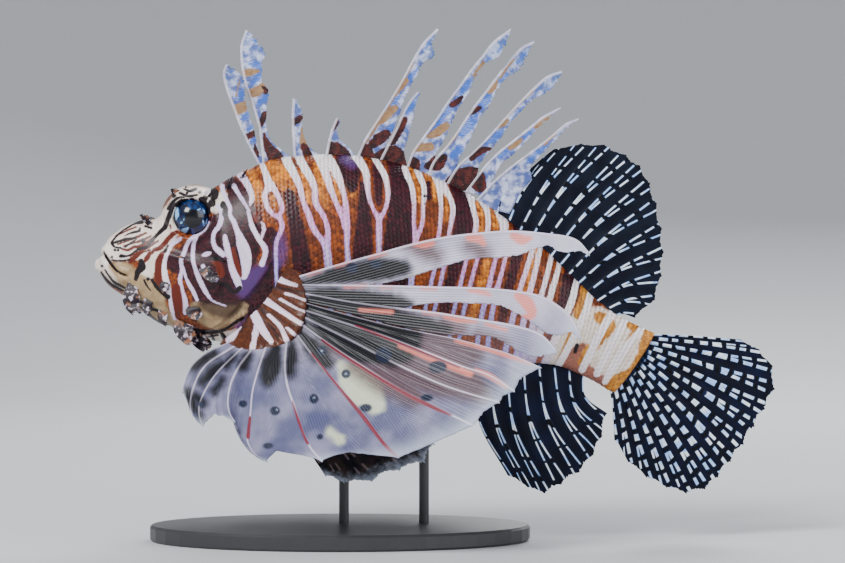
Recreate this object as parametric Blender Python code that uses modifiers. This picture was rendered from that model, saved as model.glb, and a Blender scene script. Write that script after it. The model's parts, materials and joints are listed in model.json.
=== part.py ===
"""Red lionfish, life size, in still pose on a plain display stand.

The fish faces -X with its left side towards -Y, and +Z is up. The origin is the middle of the
underside of the stand's base. Lengths in the tables are millimetres in the fish's own side view.
"""

import math
from collections import namedtuple

import bmesh
import bpy
import numpy as np
from mathutils import Matrix, Vector
from mathutils.bvhtree import BVHTree

# Driving sizes, in millimetres
MM = 0.001
GAP = 0.3
SNOUT_X, TAIL_FIN_X = -122.5, 219.0
BODY_RINGS, BODY_SIDES = 40, 24
SWAY_FROM_X, TAIL_SWAY = 0.0, 10.0
EYE_RADIUS, EYE_DEPTH = 9.5, 7.5
EYE_CENTRE = (-73.5, 14.0, 161.0)
RIM_RADIUS, RIM_OUT, RIM_TILT = 2.0, 16.0, 24.0
NOSTRIL = (-94.5, 153.0)
MEMBRANE, RIDGE = 0.6, 0.9
BASE_LENGTH, BASE_WIDTH, BASE_THICKNESS = 190.0, 116.0, 8.0
ROD_RADIUS, ROD_TOP = 2.5, 110.0
ROD_X = {"stand_rod_front": 2.0, "stand_rod_rear": 42.0}

# A near fin is drawn as a viewer at this distance sees it, beside the fish's middle.
VIEW_DISTANCE = 1250.0
VIEW_MIDDLE = (41.0, 129.0)

# The body's outline: crown and keel in side view, half its width, where the widest line lies, roundness
Station = namedtuple("Station", "top_x top_z low_x low_z half_width widest round")
STATIONS = [
    Station(-121.5, 140.5, -122.5, 134.5, 2.5, 0.50, 2.0),
    Station(-118.5, 147.0, -120.0, 131.5, 6.5, 0.50, 2.0),
    Station(-114.0, 152.0, -114.0, 126.0, 10.0, 0.48, 2.1),
    Station(-107.5, 156.5, -106.5, 121.0, 13.0, 0.46, 2.2),
    Station(-99.0, 160.0, -97.5, 114.0, 16.0, 0.45, 2.3),
    Station(-91.5, 160.5, -90.0, 109.0, 18.5, 0.45, 2.3),
    Station(-86.0, 166.0, -82.5, 106.0, 20.5, 0.45, 2.3),
    Station(-79.0, 171.0, -74.0, 103.5, 22.0, 0.46, 2.3),
    Station(-68.5, 173.0, -64.0, 100.5, 24.0, 0.47, 2.2),
    Station(-57.5, 178.0, -52.5, 96.5, 26.0, 0.49, 2.1),
    Station(-47.0, 184.0, -40.0, 92.0, 26.5, 0.51, 2.0),
    Station(-36.0, 189.5, -27.5, 88.0, 26.5, 0.53, 1.95),
    Station(-20.0, 192.0, -12.5, 85.0, 26.5, 0.54, 1.9),
    Station(-2.5, 192.5, 5.0, 83.5, 25.5, 0.54, 1.9),
    Station(15.0, 191.0, 22.5, 83.0, 24.0, 0.54, 1.9),
    Station(32.5, 187.0, 39.0, 83.5, 22.0, 0.54, 1.9),
    Station(50.0, 180.0, 55.0, 85.0, 19.5, 0.53, 1.9),
    Station(67.5, 171.0, 70.0, 86.5, 17.0, 0.53, 1.9),
    Station(85.0, 159.0, 85.0, 88.0, 14.5, 0.52, 1.9),
    Station(102.5, 145.0, 99.0, 88.5, 12.0, 0.52, 1.9),
    Station(117.5, 130.5, 110.0, 87.0, 9.5, 0.51, 1.9),
    Station(131.5, 117.5, 120.0, 83.0, 7.5, 0.50, 1.9),
    Station(145.0, 109.0, 129.0, 78.5, 5.8, 0.50, 1.9),
    Station(157.5, 103.5, 137.0, 73.5, 3.5, 0.50, 1.9),
]

# Where the body is parted, as outlines in side view
MOUTH_LINE = [(-121.5, 139.0), (-115.0, 136.0), (-109.0, 131.5), (-102.5, 127.5)]
JAW_OUTLINE = [(-140.0, 141.0), *MOUTH_LINE, (-90.0, 120.0), (-85.0, 111.0), (-84.0, 90.0), (-140.0, 90.0)]
GILL_EDGE = [
    (-55.0, 205.0), (-52.0, 185.0), (-42.0, 163.0), (-35.5, 145.0),
    (-38.0, 132.0), (-47.0, 119.0), (-57.0, 108.0), (-61.0, 85.0),
]
GILL_COVER = [
    (-59.0, 156.0), (-51.0, 157.0), (-44.0, 151.0), (-39.5, 143.0), (-42.0, 131.5),
    (-50.5, 119.5), (-61.0, 109.5), (-70.0, 109.0), (-69.0, 125.0), (-64.5, 143.0),
]
COVER_INSIDE_Y = 15.0
STALK_EDGE = [(132.0, 150.0), (112.0, 60.0)]

# First dorsal fin: foot, middle and tip of each spine in side view, width of the skin behind it, sideways lean
Spine = namedtuple("Spine", "foot middle tip skin lean")
FRONT_SPINES = [
    Spine((-43.0, 180.0), (-52.0, 213.0), (-58.0, 237.0), 7.0, -8.0),
    Spine((-36.0, 182.0), (-47.5, 222.0), (-48.5, 256.0), 10.0, 6.0),
    Spine((-23.0, 184.0), (-23.5, 207.0), (-21.5, 221.0), 5.0, -2.0),
    Spine((-8.0, 185.0), (-5.5, 202.0), (0.5, 210.5), 4.5, 2.0),
]
REAR_SPINES = [
    Spine((5.5, 184.0), (27.5, 225.0), (49.0, 255.0), 6.5, -4.0),
    Spine((18.0, 182.0), (29.5, 207.0), (39.5, 224.0), 5.0, 2.0),
    Spine((31.5, 179.0), (57.0, 222.0), (85.5, 255.0), 5.5, -4.0),
    Spine((42.5, 174.5), (67.0, 214.0), (97.5, 249.0), 5.5, 4.0),
    Spine((52.5, 170.0), (79.5, 206.0), (111.0, 234.0), 5.5, -4.0),
    Spine((61.0, 166.0), (84.5, 197.0), (111.0, 216.5), 4.0, 4.0),
    Spine((66.0, 164.0), (91.0, 191.5), (119.0, 210.5), 3.5, -8.0),
]
WEB_HEIGHT, SPINE_ROOT_THICKNESS, SPINE_TIP_THICKNESS = 9.0, 2.6, 0.8
SPINE_ROWS, WEB_ROWS = 8, 2

# Soft fins in the middle plane: the points of the foot on the body, then the tips of the rays
SOFT_DORSAL_FOOT = [(77.0, 157.0), (97.0, 141.0), (115.0, 124.5), (134.0, 109.0)]
SOFT_DORSAL_TIPS = [
    (90.0, 181.5), (107.0, 195.5), (121.0, 198.5), (132.5, 198.0), (143.5, 193.0), (150.5, 187.5),
    (155.5, 179.0), (159.0, 168.5), (161.5, 156.0), (162.5, 144.0), (161.5, 132.0), (158.0, 120.0), (148.0, 111.0),
]
ANAL_FOOT = [(66.0, 90.0), (86.0, 92.0), (104.0, 92.0), (122.0, 87.0)]
ANAL_TIPS = [
    (84.0, 32.0), (94.0, 26.0), (102.5, 23.0), (111.0, 27.5),
    (120.0, 33.5), (127.0, 42.0), (131.5, 51.5), (134.0, 63.0),
]
TAIL_FOOT = [(152.5, 103.0), (151.5, 94.0), (145.5, 85.0), (135.0, 77.0)]
TAIL_TIPS = [
    (202.0, 100.0), (211.0, 95.0), (218.0, 86.5), (219.0, 75.0), (214.0, 65.0), (208.5, 56.0), (203.0, 47.0),
    (196.5, 38.5), (190.0, 30.5), (183.5, 24.5), (174.0, 22.5), (164.0, 25.5), (154.0, 30.5), (144.5, 38.5),
    (137.5, 49.5),
]
SOFT_ROWS, TAIL_ROWS = 6, 4
SOFT_RAY_THICKNESS, PELVIC_RAY_THICKNESS = (1.9, 0.7), (2.2, 0.8)
FOOT_SUNK = 4.0  # how deep the foot of a ray is sunk
SKIN_SHARE = 0.62  # the most of the gap to the next ray that free skin takes

# Pectoral fin: each ray leaves the fleshy root at an angle and runs through two points to its tip in side
# view. Then come how far out the tip stands, how much of it is joined to the next ray, the free skin
# beside it, and how deep the skin's edge is cut between it and the next ray
PectoralRay = namedtuple("PectoralRay", "angle first second tip tip_out joined skin notch")
PECTORAL_RAYS = [
    PectoralRay(29, (22.0, 144.0), (79.0, 154.0), (125.0, 143.0), 72, 0.3, 12.0, 0.0),
    PectoralRay(20, (30.0, 126.5), (86.0, 124.0), (120.5, 100.5), 78, 0.4, 11.0, 0.0),
    PectoralRay(12, (30.0, 115.5), (85.0, 107.5), (108.5, 94.0), 82, 0.5, 10.0, 0.0),
    PectoralRay(4, (28.0, 106.5), (72.0, 97.0), (101.0, 86.0), 86, 1.0, 0.0, 4.0),
    PectoralRay(-5, (22.0, 102.0), (60.0, 87.0), (87.5, 74.0), 88, 1.0, 0.0, 1.0),
    PectoralRay(-12, (13.0, 96.5), (49.0, 79.0), (80.0, 68.5), 90, 1.0, 0.0, 5.0),
    PectoralRay(-20, (8.0, 89.0), (41.0, 70.0), (66.5, 57.0), 92, 1.0, 0.0, 4.0),
    PectoralRay(-33, (-6.0, 84.0), (12.0, 62.0), (29.0, 41.0), 92, 1.0, 0.0, 5.0),
    PectoralRay(-50, (-27.0, 80.0), (-21.0, 59.0), (-9.0, 39.0), 88, 1.0, 0.0, 9.0),
    PectoralRay(-72, (-42.0, 78.0), (-46.0, 57.0), (-36.0, 39.0), 80, 1.0, 0.0, 4.0),
    PectoralRay(-88, (-53.0, 84.0), (-56.5, 70.0), (-52.5, 58.5), 72, 1.0, 0.0, 3.0),
    PectoralRay(-99, (-61.0, 85.0), (-69.0, 70.0), (-68.5, 56.5), 66, 1.0, 0.0, 3.0),
    PectoralRay(-109, (-65.5, 89.0), (-74.5, 77.0), (-75.5, 62.0), 60, 1.0, 0.0, 3.0),
    PectoralRay(-118, (-68.0, 94.0), (-76.5, 85.0), (-79.5, 74.0), 54, 1.0, 0.0, 0.0),
]
ANGLES = [ray.angle for ray in PECTORAL_RAYS]
PECTORAL_ROOT = [(-36.0, 136.0), (-48.0, 103.0)]
PECTORAL_ROOT_OUT, KNUCKLE_OUT = 20.0, 38.0
KNUCKLE_CENTRE, KNUCKLE_RADII = (-44.0, 118.0), (30.0, 23.0)
PECTORAL_ROWS, LOBE_COLUMNS, LOBE_ROWS = 8, 8, 4
LOBE_THICKNESS, PECTORAL_RAY_THICKNESS = (9.0, 6.5, 4.0), (1.9, 0.8)

# Pelvic fin: middles and tips of its spine and five rays
PELVIC_ROOT = [(-38.0, 94.0), (-22.0, 91.0)]
PELVIC_MIDDLES = [(-25.0, 60.0), (-16.0, 57.5), (-7.5, 57.5), (2.5, 60.0), (10.0, 62.5), (16.0, 67.5)]
PELVIC_TIPS = [(-7.0, 31.5), (2.5, 28.0), (16.0, 29.0), (30.0, 34.5), (42.5, 38.5), (48.0, 47.5)]
PELVIC_OUT = (9.0, 20.0, 30.0)

# Flaps of skin on the head: root and tip in side view, width, how far the tip stands out from its root
Flap = namedtuple("Flap", "name root tip width out")
HEAD_FLAPS = [
    Flap("chin", (-80.5, 108.5), (-75.0, 98.0), 7.0, 3.0),
    Flap("brow", (-78.0, 168.0), (-80.0, 176.5), 4.0, 0.0),
]
JAW_FLAPS = [Flap("mouth_corner", (-102.5, 124.5), (-103.5, 111.0), 8.0, 3.0)]

SKIN_BROWN, SKIN_PALE = (0.42, 0.14, 0.06), (0.80, 0.62, 0.42)
FIN_DARK, FIN_PALE = (0.03, 0.06, 0.14), (0.72, 0.70, 0.82)
SPINE_PALE, PELVIC_BROWN = (0.70, 0.66, 0.78), (0.20, 0.10, 0.07)
EYE_BLUE, STAND_GREY = (0.12, 0.22, 0.34), (0.06, 0.06, 0.07)


def spline(values, t):
    """A smooth curve through evenly numbered values, read at t. It is a Catmull-Rom curve."""
    values = np.asarray(values, float)
    i = int(min(max(math.floor(t), 0), len(values) - 2))
    f = t - i
    a, b = values[i], values[i + 1]
    before = values[i - 1] if i else 2 * a - b
    after = values[i + 2] if i + 2 < len(values) else 2 * b - a
    return 0.5 * (
        2 * a + (b - before) * f
        + (2 * before - 5 * a + 4 * b - after) * f**2
        + (3 * a - before - 3 * b + after) * f**3
    )


def along(points, shares):
    """Points at these shares, 0 to 1, of a smooth curve through the given points."""
    return np.array([spline(points, share * (len(points) - 1)) for share in shares])


def swayed(points):
    """The points with the rear of the fish swung gently to its right."""
    points = np.array(points, float)
    share = np.clip((points[:, 0] - SWAY_FROM_X) / (TAIL_FIN_X - SWAY_FROM_X), 0, 1)
    points[:, 1] += TAIL_SWAY * share**2
    return points


def as_seen(x, z, out):
    """A point beside the fish, moved in to where the viewer's line of sight passes it."""
    nearer = 1 - out / VIEW_DISTANCE
    return (
        VIEW_MIDDLE[0] + (x - VIEW_MIDDLE[0]) * nearer,
        -out,
        VIEW_MIDDLE[1] + (z - VIEW_MIDDLE[1]) * nearer,
    )


def in_plane(pairs):
    """Side-view points placed in the fish's middle plane."""
    return [(x, 0.0, z) for x, z in pairs]


def new_object(name, mesh, colour, collection):
    """An object with its own finish, smooth except at hard edges."""
    finish = bpy.data.materials.new(name)
    finish.use_nodes = True
    shader = finish.node_tree.nodes["Principled BSDF"]
    shader.inputs["Base Color"].default_value = (*colour, 1.0)
    shader.inputs["Roughness"].default_value = 0.45
    mesh.materials.clear()
    mesh.materials.append(finish)
    mesh.shade_smooth()
    mesh.set_sharp_from_angle(angle=math.radians(50))
    made = bpy.data.objects.new(name, mesh)
    collection.objects.link(made)
    return made


def mesh_of(name, shape):
    """A mesh from a bmesh, with its faces turned outwards if it is closed."""
    if all(edge.is_manifold for edge in shape.edges):
        bmesh.ops.recalc_face_normals(shape, faces=shape.faces)
    mesh = bpy.data.meshes.new(name)
    shape.to_mesh(mesh)
    shape.free()
    return mesh


def face_outwards(mesh):
    """Turns every face of a closed mesh outwards."""
    shape = bmesh.new()
    shape.from_mesh(mesh)
    bmesh.ops.recalc_face_normals(shape, faces=shape.faces)
    shape.to_mesh(mesh)
    shape.free()


def apply_modifiers(thing):
    """Puts the mesh that the modifiers make in place of the plain one."""
    graph = bpy.context.evaluated_depsgraph_get()
    plain = thing.data
    made = bpy.data.meshes.new_from_object(thing.evaluated_get(graph))
    thing.modifiers.clear()
    thing.data = made
    bpy.data.meshes.remove(plain)


def is_closed(mesh):
    """Whether the mesh has faces and every edge of it lies between two of them."""
    shape = bmesh.new()
    shape.from_mesh(mesh)
    closed = bool(shape.faces) and all(edge.is_manifold for edge in shape.edges)
    shape.free()
    return closed


def keep_largest(thing):
    """Drops every closed surface of the object but the one that holds most."""
    shape = bmesh.new()
    shape.from_mesh(thing.data)
    left, groups = set(shape.verts), []
    while left:
        stack, group = [left.pop()], set()
        while stack:
            vert = stack.pop()
            group.add(vert)
            near = {edge.other_vert(vert) for edge in vert.link_edges} & left
            left -= near
            stack.extend(near)
        groups.append(group)

    def volume(group):
        faces = {face for vert in group for face in vert.link_faces}
        total = 0.0
        for face in faces:
            first = face.verts[0].co
            for a, b in zip(face.verts[1:], face.verts[2:]):
                total += first.dot(a.co.cross(b.co))
        return total

    groups.sort(key=volume)
    spare = [vert for group in groups[:-1] for vert in group]
    bmesh.ops.delete(shape, geom=spare, context="VERTS")
    bmesh.ops.triangulate(shape, faces=shape.faces)
    shape.to_mesh(thing.data)
    shape.free()


def combine(thing, others, operation):
    """One Boolean for each other object: the exact solver, or the manifold one where that leaves it open."""
    for other in others:
        before = thing.data.copy()
        for solver in ("EXACT", "MANIFOLD"):
            modifier = thing.modifiers.new("combine", "BOOLEAN")
            modifier.operation = operation
            modifier.solver = solver
            modifier.object = other
            apply_modifiers(thing)
            if is_closed(thing.data):
                break
            thing.data = before.copy()
    keep_largest(thing)


def cut(thing, cutters, operation="DIFFERENCE"):
    """Cuts the object with each cutter, or keeps what they share, and keeps the largest piece."""
    combine(thing, cutters, operation)


def join_pieces(thing, pieces):
    """Fuses closed pieces into the object, and removes them."""
    combine(thing, pieces, "UNION")
    for piece in pieces:
        bpy.data.objects.remove(piece)


def loose_object(name, mesh):
    """A helper object in the cutters' collection, kept out of the model."""
    made = bpy.data.objects.new(name, mesh)
    cutters.objects.link(made)
    made.hide_render = True
    made.display_type = "WIRE"
    return made


def body_point(t, angle, grown=0.0):
    """A point of the body's skin at station number t, with the angle counted from the crown."""
    top_x, top_z, low_x, low_z, half_width, widest, roundness = spline(STATIONS, t)
    up_x, up_z = top_x - low_x, top_z - low_z
    tall = math.hypot(up_x, up_z)
    rise, side = math.cos(angle), math.sin(angle)
    height = tall * ((1 - widest) if rise > 0 else widest) + grown
    rise = math.copysign(abs(rise) ** (2 / roundness), rise) * height
    side = math.copysign(abs(side) ** (2 / roundness), side) * (half_width + grown)
    middle_x, middle_z = low_x + up_x * widest, low_z + up_z * widest
    return (middle_x + up_x / tall * rise, side, middle_z + up_z / tall * rise)


def body_mesh(name, grown=0.0):
    """The whole body as one closed loft through its stations."""
    shape = bmesh.new()
    rings = []
    for i in range(BODY_RINGS):
        t = (len(STATIONS) - 1) * i / (BODY_RINGS - 1)
        ring = [body_point(t, 2 * math.pi * j / BODY_SIDES, grown) for j in range(BODY_SIDES)]
        if grown and i in (0, BODY_RINGS - 1):
            ring = np.array(ring) + np.array([-grown if i == 0 else grown, 0, 0])
        rings.append([shape.verts.new(Vector(p) * MM) for p in swayed(ring)])
    for ring, following in zip(rings, rings[1:]):
        for j in range(BODY_SIDES):
            k = (j + 1) % BODY_SIDES
            shape.faces.new((ring[j], ring[k], following[k], following[j]))
    shape.faces.new(rings[0])
    shape.faces.new(rings[-1])
    bmesh.ops.triangulate(shape, faces=shape.faces)
    return mesh_of(name, shape)


def prism(name, outline, low_y=-60.0, high_y=60.0, shift=(0.0, 0.0)):
    """A cutter: an outline in side view, carried across the fish."""
    shape = bmesh.new()
    dx, dz = shift
    verts = [shape.verts.new(Vector((x + dx, low_y, z + dz)) * MM) for x, z in outline]
    face = shape.faces.new(verts)
    across = bmesh.ops.extrude_face_region(shape, geom=[face])["geom"]
    moved = [part for part in across if isinstance(part, bmesh.types.BMVert)]
    bmesh.ops.translate(shape, verts=moved, vec=(0, (high_y - low_y) * MM, 0))
    return loose_object(name, mesh_of(name, shape))


def skin_y(x, z):
    """How far out the fish's left skin lies at a point of the side view, or 0 beyond its outline."""
    hit = skin_tree.ray_cast(Vector((x, -200.0, z)) * MM, Vector((0, 1, 0)))[0]
    return hit.y / MM if hit else 0.0


def tube_mesh(name, points, radius, sides_resolution=2):
    """A closed tube through the points, welded at its caps."""
    line = bpy.data.curves.new(name, "CURVE")
    line.dimensions = "3D"
    line.bevel_depth = radius * MM
    line.bevel_resolution = sides_resolution
    line.use_fill_caps = True
    run = line.splines.new("POLY")
    run.points.add(len(points) - 1)
    for point, place in zip(run.points, points):
        point.co = (*(Vector(place) * MM), 1.0)
    holder = bpy.data.objects.new(name, line)
    bpy.context.scene.collection.objects.link(holder)
    graph = bpy.context.evaluated_depsgraph_get()
    mesh = bpy.data.meshes.new_from_object(holder.evaluated_get(graph))
    bpy.data.objects.remove(holder)
    shape = bmesh.new()
    shape.from_mesh(mesh)
    bmesh.ops.remove_doubles(shape, verts=shape.verts, dist=0.01 * MM)
    bpy.data.meshes.remove(mesh)
    return mesh_of(name, shape)


def ellipsoid(name, centre, radii, turns=18):
    """A closed ellipsoid, with its poles on the Y axis."""
    shape = bmesh.new()
    bmesh.ops.create_uvsphere(shape, u_segments=turns, v_segments=turns // 2, radius=1.0)
    for vert in shape.verts:
        x, y, z = vert.co
        vert.co = Vector((centre[0] + x * radii[0], centre[1] + z * radii[1], centre[2] + y * radii[2])) * MM
    bmesh.ops.triangulate(shape, faces=shape.faces)
    return mesh_of(name, shape)


def eye_opening(centre, sign):
    """A cutter that opens the head straight out from an eye, as wide as the eye."""
    shape = bmesh.new()
    bmesh.ops.create_cone(
        shape, cap_ends=True, segments=18, radius1=(EYE_RADIUS + GAP) * MM,
        radius2=(EYE_RADIUS + GAP) * MM, depth=20.0 * MM,
    )
    bmesh.ops.rotate(shape, verts=shape.verts, matrix=Matrix.Rotation(math.pi / 2, 3, "X"))
    bmesh.ops.translate(shape, verts=shape.verts, vec=Vector((centre[0], centre[1] + sign * 10.0, centre[2])) * MM)
    return loose_object("eye_opening", mesh_of("eye_opening", shape))


def ring(name, centre, major, minor, segments, tilt=0.0):
    """A closed ring round a centre that faces sideways, or tilted up by some degrees."""
    bpy.ops.mesh.primitive_torus_add(
        major_segments=segments[0], minor_segments=segments[1], major_radius=major * MM,
        minor_radius=minor * MM, location=Vector(centre) * MM,
        rotation=(math.pi / 2 - math.copysign(math.radians(tilt), -centre[1]), 0, 0),
    )
    made = bpy.context.object
    made.name = name
    return made


def sheet_mesh(name, columns, thickness, joined):
    """A thin body from columns of points that run from the root to the free edge.

    thickness holds a thickness for each point. joined[i] is how many rows of column i reach
    column i + 1, so that the skin between two rays can end before their tips.
    """
    shape = bmesh.new()
    weight = shape.verts.layers.deform.verify()
    thickest = max(float(np.max(column)) for column in thickness)
    rows = []
    for points, thick in zip(columns, thickness):
        column = []
        for place, amount in zip(swayed(points), thick):
            vert = shape.verts.new(Vector(place) * MM)
            vert[weight][0] = float(amount / thickest)
            column.append(vert)
        rows.append(column)
    for left, right, reach in zip(rows, rows[1:], joined):
        for i in range(reach):
            shape.faces.new((left[i], right[i], right[i + 1]))
            shape.faces.new((left[i], right[i + 1], left[i + 1]))
    bmesh.ops.delete(shape, geom=[v for v in shape.verts if not v.link_faces], context="VERTS")
    mesh = bpy.data.meshes.new(name)
    shape.to_mesh(mesh)
    shape.free()
    return mesh, thickest


def thicken(made, thickest):
    """Gives a sheet its thickness: at each point, the thickest value times the point's weight."""
    made.vertex_groups.new(name="thickness")
    solid = made.modifiers.new("thick", "SOLIDIFY")
    solid.thickness = thickest * MM
    solid.offset = 0.0
    solid.vertex_group = "thickness"
    solid.thickness_vertex_group = 0.0
    apply_modifiers(made)
    face_outwards(made.data)


def sheet_object(name, columns, thickness, joined, colour, collection):
    """The sheet as an object, thick where its rays are and thin between them."""
    mesh, thickest = sheet_mesh(name, columns, thickness, joined)
    made = new_object(name, mesh, colour, collection)
    thicken(made, thickest)
    return made


def unit_rows(vectors):
    """Each row scaled to length one."""
    return vectors / np.maximum(np.linalg.norm(vectors, axis=1, keepdims=True), 1e-9)


def across_ray(ray, neighbour):
    """At each row, the direction square across a ray towards its neighbour, and how far off that is."""
    towards = neighbour - ray
    tangent = unit_rows(np.gradient(ray, axis=0))
    sideways = towards - (towards * tangent).sum(1, keepdims=True) * tangent
    return unit_rows(sideways), np.linalg.norm(sideways, axis=1)


def fan_columns(rays, ray_thickness, reach, skins, notches):
    """Columns for a fan of rays: each ray's ridge, a flank on both sides of it, and the skin between.

    reach is the share of each ray that is joined to the next. A ray that isn't joined all along has a
    strip of free skin beside it, and elsewhere the skin's edge is notched between the tips.
    """
    rows = len(rays[0])
    columns, thickness, joined = [], [], []

    def add(column, thick, joined_rows):
        columns.append(column)
        thickness.append(thick)
        joined.append(joined_rows)

    thin = np.minimum(MEMBRANE, ray_thickness)
    share = np.linspace(0, 1, rows)
    for i, ray in enumerate(rays):
        tangent = unit_rows(np.gradient(ray, axis=0))
        pull = tangent * (share == 1)[:, None]
        if i:
            towards, distance = across_ray(ray, rays[i - 1])
            add(ray + towards * np.minimum(RIDGE, 0.3 * distance)[:, None] - pull, thin, rows - 1)
        add(ray, ray_thickness, rows - 1)
        if i + 1 == len(rays):
            break
        towards, distance = across_ray(ray, rays[i + 1])
        offset = np.minimum(RIDGE, 0.3 * distance)
        joined_rows = max(1, round(reach[i] * (rows - 1)))
        free = skins[i] > 0
        add(ray + towards * offset[:, None] - pull, thin, rows - 1 if free or notches[i] else joined_rows)
        if free:
            width = skins[i] * np.interp(share, [0, 0.4, 0.85, 1], [0.4, 0.9, 1.0, 0.3])
            width = np.maximum(np.minimum(width, SKIN_SHARE * distance), offset + 0.4)
            add(ray + towards * width[:, None] - pull * 4, np.full(rows, MEMBRANE), joined_rows)
        elif notches[i]:
            between = 0.5 * (ray + rays[i + 1])
            along_fin = unit_rows(np.gradient(between, axis=0))
            cut_back = np.interp(share, [0, 0.8, 1], [0, 0, notches[i]])
            add(between - along_fin * cut_back[:, None], np.full(rows, MEMBRANE), rows - 1)
    return columns, thickness, joined[:-1]


def make_spine_fin(name, spines, collection):
    """Stiff spines of the first dorsal fin, each with a strip of skin behind it and a low web to the next."""
    rays = []
    for spine in spines:
        length = math.dist(spine.foot, spine.tip)
        web = min(0.5, (WEB_HEIGHT + FOOT_SUNK) / length)
        shares = np.concatenate(
            [np.linspace(0, web, WEB_ROWS + 1), np.linspace(web, 1, SPINE_ROWS - WEB_ROWS + 1)[1:]]
        )
        points = along(in_plane([spine.foot, spine.middle, spine.tip]), shares)
        points[:, 1] = spine.lean * shares**1.5
        rays.append(points)
    taper = np.linspace(SPINE_ROOT_THICKNESS, SPINE_TIP_THICKNESS, SPINE_ROWS + 1)
    thin = np.full(SPINE_ROWS + 1, MEMBRANE)
    share = np.linspace(0, 1, SPINE_ROWS + 1)
    columns, thickness, joined = [], [], []
    for i, (spine, ray) in enumerate(zip(spines, rays)):
        tangent = unit_rows(np.gradient(ray, axis=0))
        behind = np.stack([tangent[:, 2], np.zeros(len(ray)), -tangent[:, 0]], 1)
        skin = spine.skin * np.interp(share, [0, 0.4, 0.7, 0.9, 1], [0.6, 1.0, 1.0, 0.8, 0.25])
        if i + 1 < len(spines):
            room = np.linalg.norm(rays[i + 1] - ray, axis=1)[: WEB_ROWS + 1] * 0.45
            skin[: WEB_ROWS + 1] = np.minimum(skin[: WEB_ROWS + 1], room)
        columns += [ray, ray + behind * RIDGE, ray + behind * np.maximum(skin, 1.5)[:, None]]
        thickness += [taper, thin, thin]
        joined += [SPINE_ROWS, SPINE_ROWS, WEB_ROWS]
        if i + 1 < len(spines):
            dip = 0.5 * (columns[-1] + rays[i + 1])
            dip[WEB_ROWS] = 0.45 * dip[WEB_ROWS - 1] + 0.55 * dip[WEB_ROWS]
            columns.append(dip)
            thickness.append(thin)
            joined.append(WEB_ROWS)
    return sheet_object(name, columns, thickness, joined[:-1], SPINE_PALE, collection)


def make_soft_fin(name, foot, tips, bow, rows, collection):
    """A soft fin in the middle plane: a fan of jointed rays with skin out to their tips."""
    shares = np.linspace(0, 1, rows + 1)
    rays = []
    for i, tip in enumerate(tips):
        root = spline(foot, (len(foot) - 1) * i / (len(tips) - 1))
        root, tip = np.array(root), np.array(tip)
        run = tip - root
        side = np.array([-run[1], run[0]]) / np.linalg.norm(run)
        middle = (root + tip) / 2 + side * bow
        rays.append(along(in_plane([root, middle, tip]), shares))
    ray_thickness = np.linspace(*SOFT_RAY_THICKNESS, rows + 1)
    count = len(rays)
    columns, thickness, joined = fan_columns(rays, ray_thickness, [1.0] * count, [0] * count, [0] * count)
    return sheet_object(name, columns, thickness, joined, FIN_DARK, collection)


def pectoral_knuckle(share):
    """Where a ray leaves the fin's fleshy root, and where the root below it meets the body."""
    angle = math.radians(np.interp(share * (len(PECTORAL_RAYS) - 1), range(len(PECTORAL_RAYS)), ANGLES))
    radius = KNUCKLE_RADII[0] * (1 - share) + KNUCKLE_RADII[1] * share
    x = KNUCKLE_CENTRE[0] + radius * math.cos(angle)
    z = KNUCKLE_CENTRE[1] + radius * math.sin(angle)
    foot_x, foot_z = np.array(PECTORAL_ROOT[0]) * (1 - share) + np.array(PECTORAL_ROOT[1]) * share
    return np.array(as_seen(x, z, KNUCKLE_OUT)), np.array([foot_x, -PECTORAL_ROOT_OUT, foot_z])


def pectoral_rays():
    """The near pectoral fin's rays as rows of points, each starting inside the fleshy root."""
    rays = []
    for i, ray in enumerate(PECTORAL_RAYS):
        knuckle, _ = pectoral_knuckle(i / (len(PECTORAL_RAYS) - 1))
        first_out, second_out = np.interp([0.4, 0.75], [0, 1], [KNUCKLE_OUT, ray.tip_out])
        points = [
            knuckle, as_seen(*ray.first, first_out), as_seen(*ray.second, second_out),
            as_seen(*ray.tip, ray.tip_out),
        ]
        run = along(points, np.linspace(0, 1, PECTORAL_ROWS))
        back = (run[0] - run[1]) / np.linalg.norm(run[0] - run[1])
        rays.append(np.vstack([run[0] + back * FOOT_SUNK, run]))
    return rays


def make_pectoral(name, mirrored, collection):
    """A pectoral fin: a fleshy root, thick rays, and skin whose upper strips end free."""
    side = np.array([1, -1 if mirrored else 1, 1])
    lobe_columns = []
    for share in np.linspace(-0.03, 1.03, LOBE_COLUMNS):
        knuckle, foot = pectoral_knuckle(min(max(share, 0.0), 1.0))
        run = knuckle - foot
        lobe_columns.append((foot + run * np.linspace(0, 1.04, LOBE_ROWS)[:, None]) * side)
    lobe_columns[0] += (0, 0, 2.0)
    lobe_columns[-1] += (-2.0, 0, 0)
    flesh = np.interp(np.linspace(0, 1, LOBE_ROWS), [0, 0.7, 1], LOBE_THICKNESS)
    edges = [0.55] + [1.0] * (LOBE_COLUMNS - 2) + [0.55]
    lobe = sheet_object(
        "lobe", lobe_columns, [flesh * edge for edge in edges], [LOBE_ROWS - 1] * (LOBE_COLUMNS - 1),
        FIN_PALE, collection,
    )
    ray_thickness = np.linspace(*PECTORAL_RAY_THICKNESS, PECTORAL_ROWS + 1)
    columns, thickness, joined = fan_columns(
        pectoral_rays(), ray_thickness, [ray.joined for ray in PECTORAL_RAYS],
        [ray.skin for ray in PECTORAL_RAYS], [ray.notch for ray in PECTORAL_RAYS],
    )
    fin = sheet_object(name, [column * side for column in columns], thickness, joined, FIN_PALE, collection)
    join_pieces(fin, [lobe])
    return fin


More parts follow.
